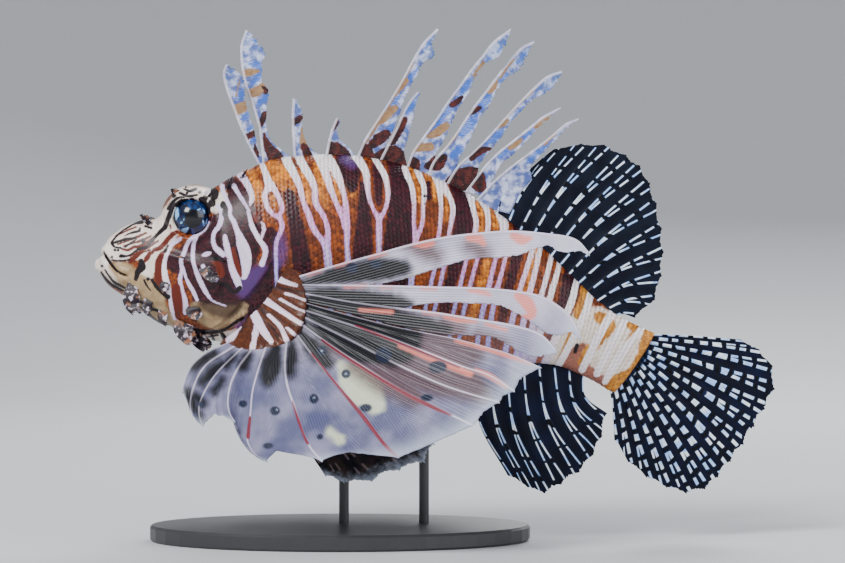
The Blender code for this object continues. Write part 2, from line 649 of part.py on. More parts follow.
def make_pelvic(name, mirrored, collection):
    """A pelvic fin: one spine and five rays with dark skin out to their tips."""
    shares = np.linspace(0, 1, SOFT_ROWS + 1)
    rays = []
    for i, (middle, tip) in enumerate(zip(PELVIC_MIDDLES, PELVIC_TIPS)):
        share = i / (len(PELVIC_TIPS) - 1)
        root = np.array(PELVIC_ROOT[0]) * (1 - share) + np.array(PELVIC_ROOT[1]) * share
        points = [
            (root[0], -PELVIC_OUT[0], root[1]),
            as_seen(*middle, PELVIC_OUT[1]),
            as_seen(*tip, PELVIC_OUT[2]),
        ]
        rays.append(along(points, shares))
    ray_thickness = np.linspace(*PELVIC_RAY_THICKNESS, SOFT_ROWS + 1)
    count = len(rays)
    columns, thickness, joined = fan_columns(rays, ray_thickness, [1.0] * count, [0] * count, [3.0] * count)
    if mirrored:
        columns = [column * np.array([1, -1, 1]) for column in columns]
    return sheet_object(name, columns, thickness, joined, PELVIC_BROWN, collection)


def flap_mesh(flap, mirrored):
    """A leaf of skin with a notched edge, its root sunk into the head."""
    rows = 4
    root = np.array([flap.root[0], skin_y(*flap.root) + 2.0, flap.root[1]])
    tip = np.array([flap.tip[0], skin_y(*flap.root) - flap.out, flap.tip[1]])
    run = tip - root
    side = np.cross(run / np.linalg.norm(run), (0, 1, 0))
    side /= np.linalg.norm(side)
    shares = np.linspace(0, 1, rows)
    columns = []
    for across, length in ((-1.0, 0.9), (-0.3, 1.0), (0.3, 0.8), (1.0, 1.0)):
        width = 0.5 * flap.width * across * np.sqrt(np.clip(0.25 + 1.3 * shares, 0, 1))
        reach = shares * length
        columns.append(root + run * reach[:, None] + side * width[:, None])
    if mirrored:
        columns = [column * np.array([1, -1, 1]) for column in columns]
    thickness = [np.linspace(2.0, 0.8, rows) for _ in columns]
    mesh, thickest = sheet_mesh(flap.name, columns, thickness, [rows - 1] * 3)
    made = bpy.data.objects.new(flap.name, mesh)
    bpy.context.scene.collection.objects.link(made)
    thicken(made, thickest)
    bpy.context.scene.collection.objects.unlink(made)
    return made


def lip_mesh(name, rise, radius):
    """A soft rounded lip that follows the mouth from corner to corner."""
    near = [(x, skin_y(x, z + rise) + 0.6, z + rise) for x, z in MOUTH_LINE[:0:-1]]
    tip_x, tip_z = MOUTH_LINE[0]
    front = [(tip_x + 1.4, -4.6, tip_z + rise), (tip_x, 0.0, tip_z + rise), (tip_x + 1.4, 4.6, tip_z + rise)]
    far = [(x, -y, z) for x, y, z in reversed(near)]
    points = along([*near, *front, *far], np.linspace(0, 1, 13))
    return bpy.data.objects.new(name, tube_mesh(name, points, radius, 1))


def make_head_parts(collection):
    """Head, lower jaw, gill covers and eyes, parted from the body with thin cuts."""
    head_outline = [(-140.0, 220.0), *GILL_EDGE, (-140.0, 85.0)]
    jaw_block = prism("jaw_block", JAW_OUTLINE)
    jaw_inside = prism("jaw_inside", JAW_OUTLINE, shift=(-GAP, -GAP))
    head_block = prism("head_block", head_outline)
    turns = np.linspace(0, 1, 15)[:-1]
    cover_outline = along([*GILL_COVER, GILL_COVER[0]], turns)
    cover_cutters = [
        prism("cover", cover_outline, *sorted((sign * COVER_INSIDE_Y, sign * 60.0))) for sign in (-1, 1)
    ]
    sockets, eyes = [], []
    for side, sign in (("left", -1), ("right", 1)):
        centre = (EYE_CENTRE[0], sign * EYE_CENTRE[1], EYE_CENTRE[2])
        radii = np.array([EYE_RADIUS, EYE_DEPTH, EYE_RADIUS])
        eyes.append(new_object(f"eye_{side}", ellipsoid("eye", centre, radii), EYE_BLUE, collection))
        sockets.append(loose_object("socket", ellipsoid("socket", centre, radii + GAP)))
        sockets.append(eye_opening(centre, sign))

    head = new_object("head", body_mesh("head"), SKIN_PALE, collection)
    cut(head, [head_block], "INTERSECT")
    cut(head, [jaw_block])
    additions = [lip_mesh("upper_lip", 2.0, 1.5)]
    for mirrored, sign in ((False, -1), (True, 1)):
        rim_centre = (EYE_CENTRE[0], sign * RIM_OUT, EYE_CENTRE[2])
        additions.append(ring("rim", rim_centre, EYE_RADIUS + 1.0, RIM_RADIUS, (18, 5), RIM_TILT))
        nostril = (NOSTRIL[0], sign * (abs(skin_y(*NOSTRIL)) - 0.2), NOSTRIL[1])
        additions.append(ring("nostril", nostril, 1.5, 0.8, (8, 5)))
        additions.extend(flap_mesh(flap, mirrored) for flap in HEAD_FLAPS)
    join_pieces(head, additions)
    cut(head, [jaw_block, *sockets])
    cut(head, cover_cutters)

    middle = np.mean(cover_outline, axis=0)
    away = cover_outline - middle
    smaller = middle + away * (1 - 1.3 * GAP / np.linalg.norm(away, axis=1, keepdims=True))
    for side, sign in (("left", -1), ("right", 1)):
        block = prism("cover_block", smaller, *sorted((sign * (COVER_INSIDE_Y + GAP), sign * 60.0)))
        cover = new_object(f"gill_cover_{side}", body_mesh("cover"), SKIN_BROWN, collection)
        cut(cover, [block], "INTERSECT")

    jaw = new_object("lower_jaw", body_mesh("lower_jaw"), SKIN_PALE, collection)
    cut(jaw, [jaw_inside], "INTERSECT")
    jaw_pieces = [lip_mesh("lower_lip", -2.2, 1.5)]
    jaw_pieces.extend(flap_mesh(flap, mirrored) for flap in JAW_FLAPS for mirrored in (False, True))
    join_pieces(jaw, jaw_pieces)
    cut(jaw, [head_keeper()])
    return head, jaw


def head_keeper():
    """A block over the jaw's cut that trims whatever of its lip or flaps would reach the head."""
    above = [(-150.0, 141.0 + GAP)] + [(x, z) for x, z in JAW_OUTLINE[1:7]] + [(-84.0, 80.0), (-50.0, 80.0)]
    above += [(-50.0, 200.0), (-150.0, 200.0)]
    return prism("head_keeper", above, shift=(0.1, 0.1))


def make_trunk_parts(collection):
    """Trunk and tail stalk, parted behind the gills and behind the rear fins."""
    behind_gills = [(x + GAP * 1.2, z) for x, z in GILL_EDGE]
    (top_x, top_z), (low_x, low_z) = STALK_EDGE
    trunk_outline = [*behind_gills, (low_x, low_z), (top_x, top_z), (top_x, 220.0), (-55.0, 220.0)]
    stalk_outline = [(low_x + GAP * 1.2, low_z), (240.0, low_z), (240.0, top_z), (top_x + GAP * 1.2, top_z)]
    trunk = new_object("trunk", body_mesh("trunk"), SKIN_BROWN, collection)
    cut(trunk, [prism("trunk_block", trunk_outline)], "INTERSECT")
    stalk = new_object("tail_stalk", body_mesh("tail_stalk"), SKIN_PALE, collection)
    cut(stalk, [prism("stalk_block", stalk_outline)], "INTERSECT")


def make_fins(collection):
    """All fins, each cut clear of the body that it grows from."""
    clearance = loose_object("body_clearance", body_mesh("body_clearance", grown=GAP))
    fins = [
        make_spine_fin("dorsal_spines_front", FRONT_SPINES, collection),
        make_spine_fin("dorsal_spines_rear", REAR_SPINES, collection),
        make_soft_fin("dorsal_fin_soft", SOFT_DORSAL_FOOT, SOFT_DORSAL_TIPS, 3.0, SOFT_ROWS, collection),
        make_soft_fin("anal_fin", ANAL_FOOT, ANAL_TIPS, -6.0, SOFT_ROWS, collection),
        make_soft_fin("tail_fin", TAIL_FOOT, TAIL_TIPS, 0.5, TAIL_ROWS, collection),
    ]
    for side, mirrored in (("left", False), ("right", True)):
        fins.append(make_pectoral(f"pectoral_fin_{side}", mirrored, collection))
        fins.append(make_pelvic(f"pelvic_fin_{side}", mirrored, collection))
    for fin in fins:
        cut(fin, [clearance])
    return clearance


def make_stand(collection, clearance):
    """An oval base with two thin rods up to the belly."""
    shape = bmesh.new()
    bmesh.ops.create_cone(
        shape, cap_ends=True, segments=40, radius1=0.5, radius2=0.5, depth=BASE_THICKNESS * MM
    )
    for vert in shape.verts:
        vert.co.x *= BASE_LENGTH * MM
        vert.co.y *= BASE_WIDTH * MM
        vert.co.z += BASE_THICKNESS * MM / 2
    base = new_object("stand_base", mesh_of("stand_base", shape), STAND_GREY, collection)
    edge = base.modifiers.new("edge", "BEVEL")
    edge.width = 1.2 * MM
    edge.segments = 1
    for name, x in ROD_X.items():
        low, high = BASE_THICKNESS + GAP, ROD_TOP
        shape = bmesh.new()
        bmesh.ops.create_cone(
            shape, cap_ends=True, segments=16, radius1=ROD_RADIUS * MM, radius2=ROD_RADIUS * MM,
            depth=(high - low) * MM,
        )
        side = float(swayed([(x, 0.0, 0.0)])[0, 1])
        bmesh.ops.translate(shape, verts=shape.verts, vec=Vector((x, side, (low + high) / 2)) * MM)
        rod = new_object(name, mesh_of(name, shape), STAND_GREY, collection)
        cut(rod, [clearance])


for startup in list(bpy.data.objects):
    bpy.data.objects.remove(startup)
fish = bpy.data.collections.new("red_lionfish")
cutters = bpy.data.collections.new("cutters")
bpy.context.scene.collection.children.link(fish)
bpy.context.scene.collection.children.link(cutters)
skin_shape = bmesh.new()
skin_shape.from_mesh(body_mesh("skin"))
skin_tree = BVHTree.FromBMesh(skin_shape)
skin_shape.free()

make_head_parts(fish)
make_trunk_parts(fish)
body_clearance = make_fins(fish)
make_stand(fish, body_clearance)
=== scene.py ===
# %% [markdown]
# # A red lionfish, life size
#
# The packed solids give the fish's size, pose and parts. This lesson dresses them: one fine skin in
# place of the flesh, scales laid over it, glossy eyes, fins with their rays, and a painted stand. The
# solids are loaded first and stay where they are, and every length below is in millimetres of the
# fish's own side view, turned into metres by MM.

import json
import math
from collections import namedtuple

import bmesh
import bpy
import numpy as np
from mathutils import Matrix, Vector

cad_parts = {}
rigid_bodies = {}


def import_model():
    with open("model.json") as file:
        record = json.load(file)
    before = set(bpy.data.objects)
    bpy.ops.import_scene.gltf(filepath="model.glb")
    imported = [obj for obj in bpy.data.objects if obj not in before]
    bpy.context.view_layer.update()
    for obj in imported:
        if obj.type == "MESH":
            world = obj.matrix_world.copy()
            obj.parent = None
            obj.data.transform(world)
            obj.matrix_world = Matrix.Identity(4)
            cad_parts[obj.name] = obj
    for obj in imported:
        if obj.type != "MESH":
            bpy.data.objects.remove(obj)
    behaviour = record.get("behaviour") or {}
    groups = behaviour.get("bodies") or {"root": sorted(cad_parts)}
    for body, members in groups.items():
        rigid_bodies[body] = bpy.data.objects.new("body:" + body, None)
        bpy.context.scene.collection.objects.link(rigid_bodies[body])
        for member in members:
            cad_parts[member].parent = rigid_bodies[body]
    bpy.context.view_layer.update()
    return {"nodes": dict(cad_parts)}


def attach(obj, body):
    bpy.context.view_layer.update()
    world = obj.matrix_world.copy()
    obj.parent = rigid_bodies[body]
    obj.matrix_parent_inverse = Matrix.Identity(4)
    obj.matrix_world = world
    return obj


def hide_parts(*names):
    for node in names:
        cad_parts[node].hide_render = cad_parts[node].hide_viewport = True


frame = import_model()
MM = 0.001

# %% [markdown]
# ## The camera
#
# The photograph was taken level with the fish, from its left side. At 1.25 m from its middle plane a
# 106.5 mm lens sees 422.5 mm across, which is the photograph's 845 pixels at 0.5 mm each. The point of
# the fish behind the picture's centre is the camera's aim.

# %% Place the camera
PICTURE_WIDTH, PICTURE_HEIGHT = 845.0, 563.0
PIXEL = 0.5
PICTURE_LEFT, PICTURE_TOP = -170.0, 270.0
VIEW_DISTANCE = 1250.0
AIM_X = PICTURE_WIDTH / 2 * PIXEL + PICTURE_LEFT
AIM_Z = PICTURE_TOP - PICTURE_HEIGHT / 2 * PIXEL


def place_camera():
    """A level camera that looks straight at the fish's left side."""
    lens = bpy.data.cameras.new("camera")
    lens.sensor_width = 36.0
    lens.lens = lens.sensor_width * VIEW_DISTANCE / (PICTURE_WIDTH * PIXEL)
    lens.clip_start = 0.05
    camera = bpy.data.objects.new("camera", lens)
    camera.location = Vector((AIM_X, -VIEW_DISTANCE, AIM_Z)) * MM
    camera.rotation_euler = (math.pi / 2, 0, 0)
    bpy.context.scene.collection.objects.link(camera)
    bpy.context.scene.camera = camera
    return camera


camera = place_camera()
print("lens:", round(camera.data.lens, 1), "mm")

# %% [markdown]
# ## Mixing a finish from nodes
#
# Every finish below is a small recipe of nodes. Writing each node by hand hides the recipe, so this
# helper adds one node for each call and hands back its result, which the next call takes. A number or
# colour that is the same all over goes straight onto the shader.

# %% The steps of a recipe


class Recipe:
    """A material that is mixed step by step, each step one node."""

    def __init__(self, name, roughness=0.4, **settings):
        self.material = bpy.data.materials.new(name)
        self.material.use_nodes = True
        self.nodes, self.links = self.material.node_tree.nodes, self.material.node_tree.links
        self.shader = self.nodes["Principled BSDF"]
        self.shader.inputs["Roughness"].default_value = roughness
        for socket, value in settings.items():
            self.shader.inputs[socket.replace("_", " ")].default_value = value

    def put(self, socket, value):
        """Gives a socket a number, a colour or the result of another node."""
        if isinstance(value, bpy.types.NodeSocket):
            self.links.new(value, socket)
        elif isinstance(value, tuple) and len(value) == 3 and socket.type == "RGBA":
            socket.default_value = (*value, 1.0)
        else:
            socket.default_value = value

    def field(self, name):
        """A measure that the mesh carries at each of its points."""
        node = self.nodes.new("ShaderNodeAttribute")
        node.attribute_name = name
        return node.outputs["Fac"]

    def math(self, operation, *values):
        node = self.nodes.new("ShaderNodeMath")
        node.operation = operation
        for socket, value in zip(node.inputs, values):
            self.put(socket, value)
        return node.outputs[0]

    def step(self, value, low, high, out_low=0.0, out_high=1.0):
        """A soft step: out_low below low, out_high above high."""
        node = self.nodes.new("ShaderNodeMapRange")
        node.interpolation_type = "SMOOTHSTEP"
        for socket, given in zip(node.inputs, (value, low, high, out_low, out_high)):
            self.put(socket, given)
        return node.outputs[0]

    def mix(self, share, first, second):
        """The first colour, or the second where the share is 1."""
        node = self.nodes.new("ShaderNodeMix")
        node.data_type = "RGBA"
        self.put(node.inputs[0], share)
        self.put(node.inputs[6], first)
        self.put(node.inputs[7], second)
        return node.outputs[2]

    def noise(self, size, detail=2.0):
        """Cloudy noise whose lumps are about this many millimetres across."""
        node = self.nodes.new("ShaderNodeTexNoise")
        node.inputs["Scale"].default_value = 1.0 / (size * MM)
        node.inputs["Detail"].default_value = detail
        place = self.nodes.new("ShaderNodeTexCoord").outputs["Object"]
        self.links.new(place, node.inputs["Vector"])
        return node.outputs["Fac"]


print("steps:", [step for step in vars(Recipe) if not step.startswith("_")])

# %% [markdown]
# The second half of the helper has the steps that come up again and again, and lays the result on the
# shader.

# %% The steps that the finishes share
DEEPER = 1.18


class Finish(Recipe):
    """A recipe with the steps that the finishes of this fish share."""

    def colour(self, value):
        """The piece's colour, made a little deeper, because bright studio light washes a paint out."""
        deeper = self.nodes.new("ShaderNodeGamma")
        deeper.inputs["Gamma"].default_value = DEEPER
        self.put(deeper.inputs["Color"], value)
        self.links.new(deeper.outputs[0], self.shader.inputs["Base Color"])

    def times(self, first, second):
        return self.math("MULTIPLY", first, second)

    def scaled(self, value, factor, plus):
        """The value times a factor, plus a number or another value."""
        return self.math("MULTIPLY_ADD", value, factor, plus)

    def clouds(self, size, detail, low, high):
        """Noise drawn into soft-edged patches: 1 in them and 0 between."""
        return self.step(self.noise(size, detail), low, high)

    def inside(self, name, low, high, ragged):
        """1 where the depth inside a drawn mark is above high, with an edge made ragged by noise."""
        return self.step(self.math("ADD", self.field(name), ragged), low, high)

    def bumps(self, height, depth):
        """Fine relief of this many millimetres, from a height between 0 and 1."""
        node = self.nodes.new("ShaderNodeBump")
        node.inputs["Distance"].default_value = depth * MM
        self.links.new(height, node.inputs["Height"])
        self.links.new(node.outputs[0], self.shader.inputs["Normal"])


print("shared steps:", [step for step in vars(Finish) if not step.startswith("_")])

# %% [markdown]
# ## Stage and light
#
# A plain pale floor runs out and curves up all round, so that no horizon shows from any side. The
# light is a large soft lamp high on the camera's side, a wide fill on the other side and one from
# behind that edges the fins.

# %% Set the stage
STAGE_COLOUR = (0.62, 0.63, 0.65)
FLOOR_RADIUS, WALL_RADIUS, WALL_HEIGHT = 1.5, 3.4, 2.6


def make_stage():
    """A round floor whose rim curves up into a wall, spun from one profile."""
    shape = bmesh.new()
    profile = [(0.001, 0.0), (FLOOR_RADIUS, 0.0)]
    for turn in np.linspace(0, math.pi / 2, 12)[1:]:
        bend = (WALL_RADIUS - FLOOR_RADIUS) * math.sin(turn)
        profile.append((FLOOR_RADIUS + bend, WALL_HEIGHT * (1 - math.cos(turn))))
    verts = [shape.verts.new((r, 0.0, z)) for r, z in profile]
    edges = [shape.edges.new(pair) for pair in zip(verts, verts[1:])]
    bmesh.ops.spin(
        shape, geom=[*verts, *edges], cent=(0, 0, 0), axis=(0, 0, 1), angle=2 * math.pi, steps=64,
        use_duplicate=False, use_merge=True,
    )
    mesh = bpy.data.meshes.new("stage")
    shape.to_mesh(mesh)
    shape.free()
    mesh.shade_smooth()
    floor = bpy.data.objects.new("stage", mesh)
    bpy.context.scene.collection.objects.link(floor)
    paper = Finish("backdrop_paper", roughness=0.9)
    grain = paper.noise(40.0)
    paper.colour(paper.mix(grain, STAGE_COLOUR, tuple(0.97 * c for c in STAGE_COLOUR)))
    mesh.materials.append(paper.material)
    return floor


make_stage()
print("stage radius:", WALL_RADIUS, "m")

# %% [markdown]
# Lamps with wide faces give the soft edge that a studio's paper-covered lamps give. Each is aimed at
# the fish and stays out of the camera's sight.

# %% Hang the lamps


def soft_lamp(name, place, size, power, aim=(0.03, 0.0, 0.13)):
    """A large square lamp that points at the fish and that no camera sees."""
    lamp = bpy.data.lights.new(name, "AREA")
    lamp.size = size
    lamp.energy = power
    holder = bpy.data.objects.new(name, lamp)
    holder.location = place
    holder.rotation_euler = (Vector(aim) - Vector(place)).to_track_quat("-Z", "Y").to_euler()
    holder.visible_camera = False
    bpy.context.scene.collection.objects.link(holder)
    return holder


soft_lamp("key_lamp", (-0.9, -1.3, 1.5), 0.8, 56.0)
soft_lamp("fill_lamp", (1.4, -1.0, 0.7), 1.2, 15.0)
soft_lamp("back_lamp", (0.5, 1.5, 1.2), 1.0, 30.0)
sky = bpy.data.worlds.new("room")
sky.use_nodes = True
sky.node_tree.nodes["Background"].inputs["Color"].default_value = (0.86, 0.90, 0.96, 1.0)
sky.node_tree.nodes["Background"].inputs["Strength"].default_value = 0.5
bpy.context.scene.world = sky
print("lamps:", [lamp.name for lamp in bpy.data.lights])

# %% [markdown]
# ## Smooth curves and the line of sight
#
# The body, the fins and every marking are drawn with the same smooth curve, which passes through its
# given points. Markings are placed by where they lie in the picture, in its pixels. The skin's near
# side is closer to the camera than the middle plane, so it looks a little larger, and a point of the
# skin is first carried along its line of sight to the middle plane before it is compared with them.

# %% Curves


def curve(points, at):
    """Points of a smooth curve through evenly numbered points, at any of those numbers."""
    points = np.asarray(points, float)
    at = np.clip(np.asarray(at, float), 0, len(points) - 1)
    i = np.minimum(at.astype(int), len(points) - 2)
    f = (at - i)[..., None]
    padded = np.vstack([2 * points[:1] - points[1:2], points, 2 * points[-1:] - points[-2:-1]])
    before, a, b, after = (padded[i + k] for k in range(4))
    return 0.5 * (
        2 * a + (b - before) * f
        + (2 * before - 5 * a + 4 * b - after) * f**2
        + (3 * a - before - 3 * b + after) * f**3
    )


def smooth_line(points, steps=4):
    """The same curve as a line of short straight pieces."""
    return curve(points, np.linspace(0, len(points) - 1, (len(points) - 1) * steps + 1))


print("halfway round a bend:", curve([(0, 0), (1, 1), (2, 0)], 0.5))

# %% [markdown]
# The fish's tail sways a little away from the camera. The line of sight is followed both ways: from a
# point of the fish to its pixel, and from a pixel to the point that far out from the middle plane.

# %% Sight lines
TAIL_SWAY, SWAY_END_X = 10.0, 219.0


def swayed(points):
    """The points with the rear of the fish swung gently away from the camera."""
    points = np.array(points, float)
    points[..., 1] += TAIL_SWAY * np.clip(points[..., 0] / SWAY_END_X, 0, 1) ** 2
    return points


def in_picture(points):
    """Where the near side shows each unswayed point, in pixels. Both sides of the fish get the same."""
    near = np.array(points, float)
    near[..., 1] = -np.abs(near[..., 1])
    near = swayed(near)
    larger = VIEW_DISTANCE / (VIEW_DISTANCE + near[..., 1])
    x = AIM_X + (near[..., 0] - AIM_X) * larger
    z = AIM_Z + (near[..., 2] - AIM_Z) * larger
    return np.stack([(x - PICTURE_LEFT) / PIXEL, (PICTURE_TOP - z) / PIXEL], -1)


def beside_fish(x, y, out):
    """The place, this far out from the middle plane, that the camera sees at a pixel."""
    nearer = 1 - np.asarray(out, float) / VIEW_DISTANCE
    across = AIM_X + (np.asarray(x, float) * PIXEL + PICTURE_LEFT - AIM_X) * nearer
    up = AIM_Z + (PICTURE_TOP - np.asarray(y, float) * PIXEL - AIM_Z) * nearer
    return np.stack([across, -np.asarray(out, float) + 0 * across, up], -1)


print("pixel of the frame's origin:", in_picture([(0.0, 0.0, 0.0)])[0].round(1))

# %% [markdown]
# ## Measuring to drawn lines
#
# A stripe is a line with a width at each point. Rather than paint it as an image, each point of the
# mesh keeps how deep it lies inside the nearest stripe, and the finish turns that depth into a crisp
# edge. Between two points of the mesh the depth changes evenly, so the edge stays sharp even where
# the mesh is coarser than the stripe's edge.

# %% Depth inside stripes and spots


def line_distance(where, line):
    """Distance from each place to a line, the width there, and which side of it the place is on."""
    best, width, side = np.full(len(where), 1e9), np.zeros(len(where)), np.zeros(len(where))
    for a, b in zip(line, line[1:]):
        run = b[:2] - a[:2]
        away = where - a[:2]
        share = np.clip(away @ run / max(run @ run, 1e-9), 0, 1)
        away = away - share[:, None] * run
        distance = np.hypot(away[:, 0], away[:, 1])
        closer = distance < best
        best[closer] = distance[closer]
        if len(a) > 2:
            width[closer] = (a[2] + share * (b[2] - a[2]))[closer]
        side[closer] = np.sign(run[0] * away[:, 1] - run[1] * away[:, 0])[closer]
    return best, width, side


def stripe_depth(pixels, stripes, reach=12.0):
    """How many pixels deep each place lies inside the nearest stripe. It is negative outside them."""
    flat = pixels.reshape(-1, 2)
    depth = np.full(len(flat), -reach)
    for stripe in stripes:
        line = smooth_line(stripe)
        margin = reach + line[:, 2].max()
        low, high = line[:, :2].min(0) - margin, line[:, :2].max(0) + margin
        close = np.flatnonzero(((flat > low) & (flat < high)).all(1))
        if len(close):
            distance, width, _ = line_distance(flat[close], line)
            depth[close] = np.maximum(depth[close], width / 2 - distance)
    return depth.reshape(pixels.shape[:-1])


def spot_depth(pixels, spots, reach=12.0):
    """How many pixels deep each place lies inside the nearest round or oval spot."""
    depth = np.full(pixels.shape[:-1], -reach)
    for x, y, wide, tall in spots:
        away = np.hypot((pixels[..., 0] - x) / wide, (pixels[..., 1] - y) / tall)
        depth = np.maximum(depth, (1 - away) * min(wide, tall))
    return depth


print("depth in the middle of a trial spot:", spot_depth(np.array([5.0, 5.0]), [(5, 5, 3, 3)]))

# %% [markdown]
# ## The skin's shape
#
# A fish's body is a tube whose section changes slowly from snout to tail, so a loft suits it: one
# closed ring of points at each station, joined to the next. The stations are the ones that the solids
# were made from, so the skin takes the place of head, jaw, gill covers, trunk and stalk with no seam.
# The rings lie closer together on the head, where the finest relief and markings are.

# %% The body's stations
Station = namedtuple("Station", "top_x top_z low_x low_z half_width widest round")
STATIONS = [
    Station(-121.5, 140.5, -122.5, 134.5, 2.5, 0.50, 2.0),
    Station(-118.5, 147.0, -120.0, 131.5, 6.5, 0.50, 2.0),
    Station(-114.0, 152.0, -114.0, 126.0, 10.0, 0.48, 2.1),
    Station(-107.5, 156.5, -106.5, 121.0, 13.0, 0.46, 2.2),
    Station(-99.0, 160.0, -97.5, 114.0, 16.0, 0.45, 2.3),
    Station(-91.5, 160.5, -90.0, 109.0, 18.5, 0.45, 2.3),
    Station(-86.0, 166.0, -82.5, 106.0, 20.5, 0.45, 2.3),
    Station(-79.0, 171.0, -74.0, 103.5, 22.0, 0.46, 2.3),
    Station(-68.5, 173.0, -64.0, 100.5, 24.0, 0.47, 2.2),
    Station(-57.5, 178.0, -52.5, 96.5, 26.0, 0.49, 2.1),
    Station(-47.0, 184.0, -40.0, 92.0, 26.5, 0.51, 2.0),
    Station(-36.0, 189.5, -27.5, 88.0, 26.5, 0.53, 1.95),
    Station(-20.0, 192.0, -12.5, 85.0, 26.5, 0.54, 1.9),
    Station(-2.5, 192.5, 5.0, 83.5, 25.5, 0.54, 1.9),
    Station(15.0, 191.0, 22.5, 83.0, 24.0, 0.54, 1.9),
    Station(32.5, 187.0, 39.0, 83.5, 22.0, 0.54, 1.9),
    Station(50.0, 180.0, 55.0, 85.0, 19.5, 0.53, 1.9),
    Station(67.5, 171.0, 70.0, 86.5, 17.0, 0.53, 1.9),
    Station(85.0, 159.0, 85.0, 88.0, 14.5, 0.52, 1.9),
    Station(102.5, 145.0, 99.0, 88.5, 12.0, 0.52, 1.9),
    Station(117.5, 130.5, 110.0, 87.0, 9.5, 0.51, 1.9),
    Station(131.5, 117.5, 120.0, 83.0, 7.5, 0.50, 1.9),
    Station(145.0, 109.0, 129.0, 78.5, 5.8, 0.50, 1.9),
    Station(157.5, 103.5, 137.0, 73.5, 3.5, 0.50, 1.9),
]
HEAD_STATIONS = 11.0
HEAD_RINGS, REAR_RINGS, SKIN_SIDES = 230, 220, 300
CAP_RINGS, CAP_BULGE = 8, 2.0
print("stations of the body:", len(STATIONS))

# %% [markdown]
# Each ring is a rounded oval between the crown and the belly line at its station. The widest height
# and the roundness change along the body, as a fish's section does.

# %% Rings of points round the body


def body_surface(t, angle):
    """Points of the body at station numbers t and angles from the crown, before the tail's sway."""
    top_x, top_z, low_x, low_z, half_width, widest, roundness = np.moveaxis(curve(STATIONS, t), -1, 0)
    up_x, up_z = top_x - low_x, top_z - low_z
    rise, side = np.cos(angle), np.sin(angle)
    height = np.where(rise > 0, 1 - widest, widest)
    rise = np.sign(rise) * np.abs(rise) ** (2 / roundness) * height
    side = np.sign(side) * np.abs(side) ** (2 / roundness) * half_width
    return np.stack([low_x + up_x * (widest + rise), side, low_z + up_z * (widest + rise)], -1)


def outward(points):
    """The unit normals of a tube of rings."""
    along = np.gradient(points, axis=0)
    around = np.roll(points, -1, axis=1) - np.roll(points, 1, axis=1)
    normal = np.cross(along, around)
    return normal / np.maximum(np.linalg.norm(normal, axis=-1, keepdims=True), 1e-9)


ring_places = np.concatenate([
    np.linspace(0, HEAD_STATIONS, HEAD_RINGS, endpoint=False),
    np.linspace(HEAD_STATIONS, len(STATIONS) - 1, REAR_RINGS),
])
side_angles = np.linspace(0, 2 * math.pi, SKIN_SIDES, endpoint=False)
plain_skin = body_surface(ring_places[:, None], side_angles[None, :])
skin_normals = outward(plain_skin)
print("skin:", plain_skin.shape[0], "rings of", plain_skin.shape[1], "points")

# %% [markdown]
# ## Relief of the head
#
# A lionfish's head is bony: lips round the mouth, a brow over the eye, ridges on the cheek, folds
# under the jaw, and a gill cover whose rear edge stands clear of the shoulder. Sculpting would do it,
# but each of these is a line, so a rounded ridge or groove that follows a drawn line is exact, can be
# named, and is the same on both sides.

# %% Ridges, grooves and the gill cover's edge
Relief = namedtuple("Relief", "name height width line")
RELIEFS = [
    Relief("mouth", -1.7, 1.1,
           [(96, 256), (103, 254), (107, 258), (111, 264), (115, 269), (120, 273), (126, 276)]),
    Relief("upper_lip", 0.9, 3.0, [(100, 249), (105, 250), (110, 256), (115, 263), (120, 269), (127, 272)]),
    Relief("lower_lip", 0.9, 3.2, [(92, 262), (99, 260), (104, 264), (109, 270), (115, 276), (123, 280)]),
    Relief("lip_seam", -0.5, 1.2,
           [(111, 261), (116, 261), (122, 261), (128, 260), (131, 266), (134, 273), (137, 279)]),
    Relief("chin_fold", -0.6, 1.2, [(100, 271), (104, 276), (109, 282), (116, 287), (123, 291)]),
    Relief("jaw_fold", -0.6, 1.4, [(137, 300), (144, 304), (151, 309), (158, 311), (163, 318), (170, 327)]),
    Relief("jaw_rim", 0.7, 3.0, [(128, 290), (140, 305), (152, 316), (165, 323), (176, 322)]),
    Relief("throat_fold", -0.9, 1.6,
           [(180, 321), (188, 327), (199, 331), (212, 333), (224, 330), (236, 323), (244, 318)]),
    Relief("throat_rim", 0.8, 3.5, [(184, 318), (194, 324), (206, 326), (220, 325), (232, 320), (243, 312)]),
    Relief("brow", 1.8, 4.5, [(171, 208), (177, 200), (187, 196), (198, 197), (207, 203), (212, 211)]),
    Relief("eye_bag", 0.9, 3.5, [(172, 228), (178, 237), (188, 241), (199, 240), (208, 233), (213, 224)]),
    Relief("snout_ridge", 0.7, 3.0, [(112, 241), (122, 233), (133, 227), (146, 226), (158, 222), (168, 213)]),
    Relief("nasal_pit", -0.8, 3.0, [(147, 226), (150, 225)]),
    Relief("cheek_ridge", 1.0, 4.0, [(160, 254), (172, 256), (186, 261), (200, 267), (212, 276), (220, 282)]),
    Relief("cheek_hollow", -0.7, 6.0, [(160, 243), (172, 247), (186, 251), (200, 252), (212, 256)]),
    Relief("nape_ridge", 0.9, 4.0, [(206, 197), (215, 192), (224, 187), (233, 180), (244, 172)]),
    Relief("gill_plate", 0.8, 3.0,
           [(219, 215), (216, 232), (217, 250), (222, 268), (219, 285), (210, 298), (196, 303)]),
    Relief("gill_ray", 0.6, 3.0, [(238, 236), (245, 250), (252, 262), (262, 268)]),
    Relief("shoulder_hollow", -1.4, 7.0, [(270, 236), (283, 246), (292, 256), (296, 268)]),
]
GILL_EDGE = [(228, 172), (236, 186), (246, 206), (256, 226), (266, 243), (274, 258), (266, 274), (252, 292),
             (236, 309), (222, 322), (208, 331)]
GILL_STEP, GILL_FADE = 1.5, 26.0
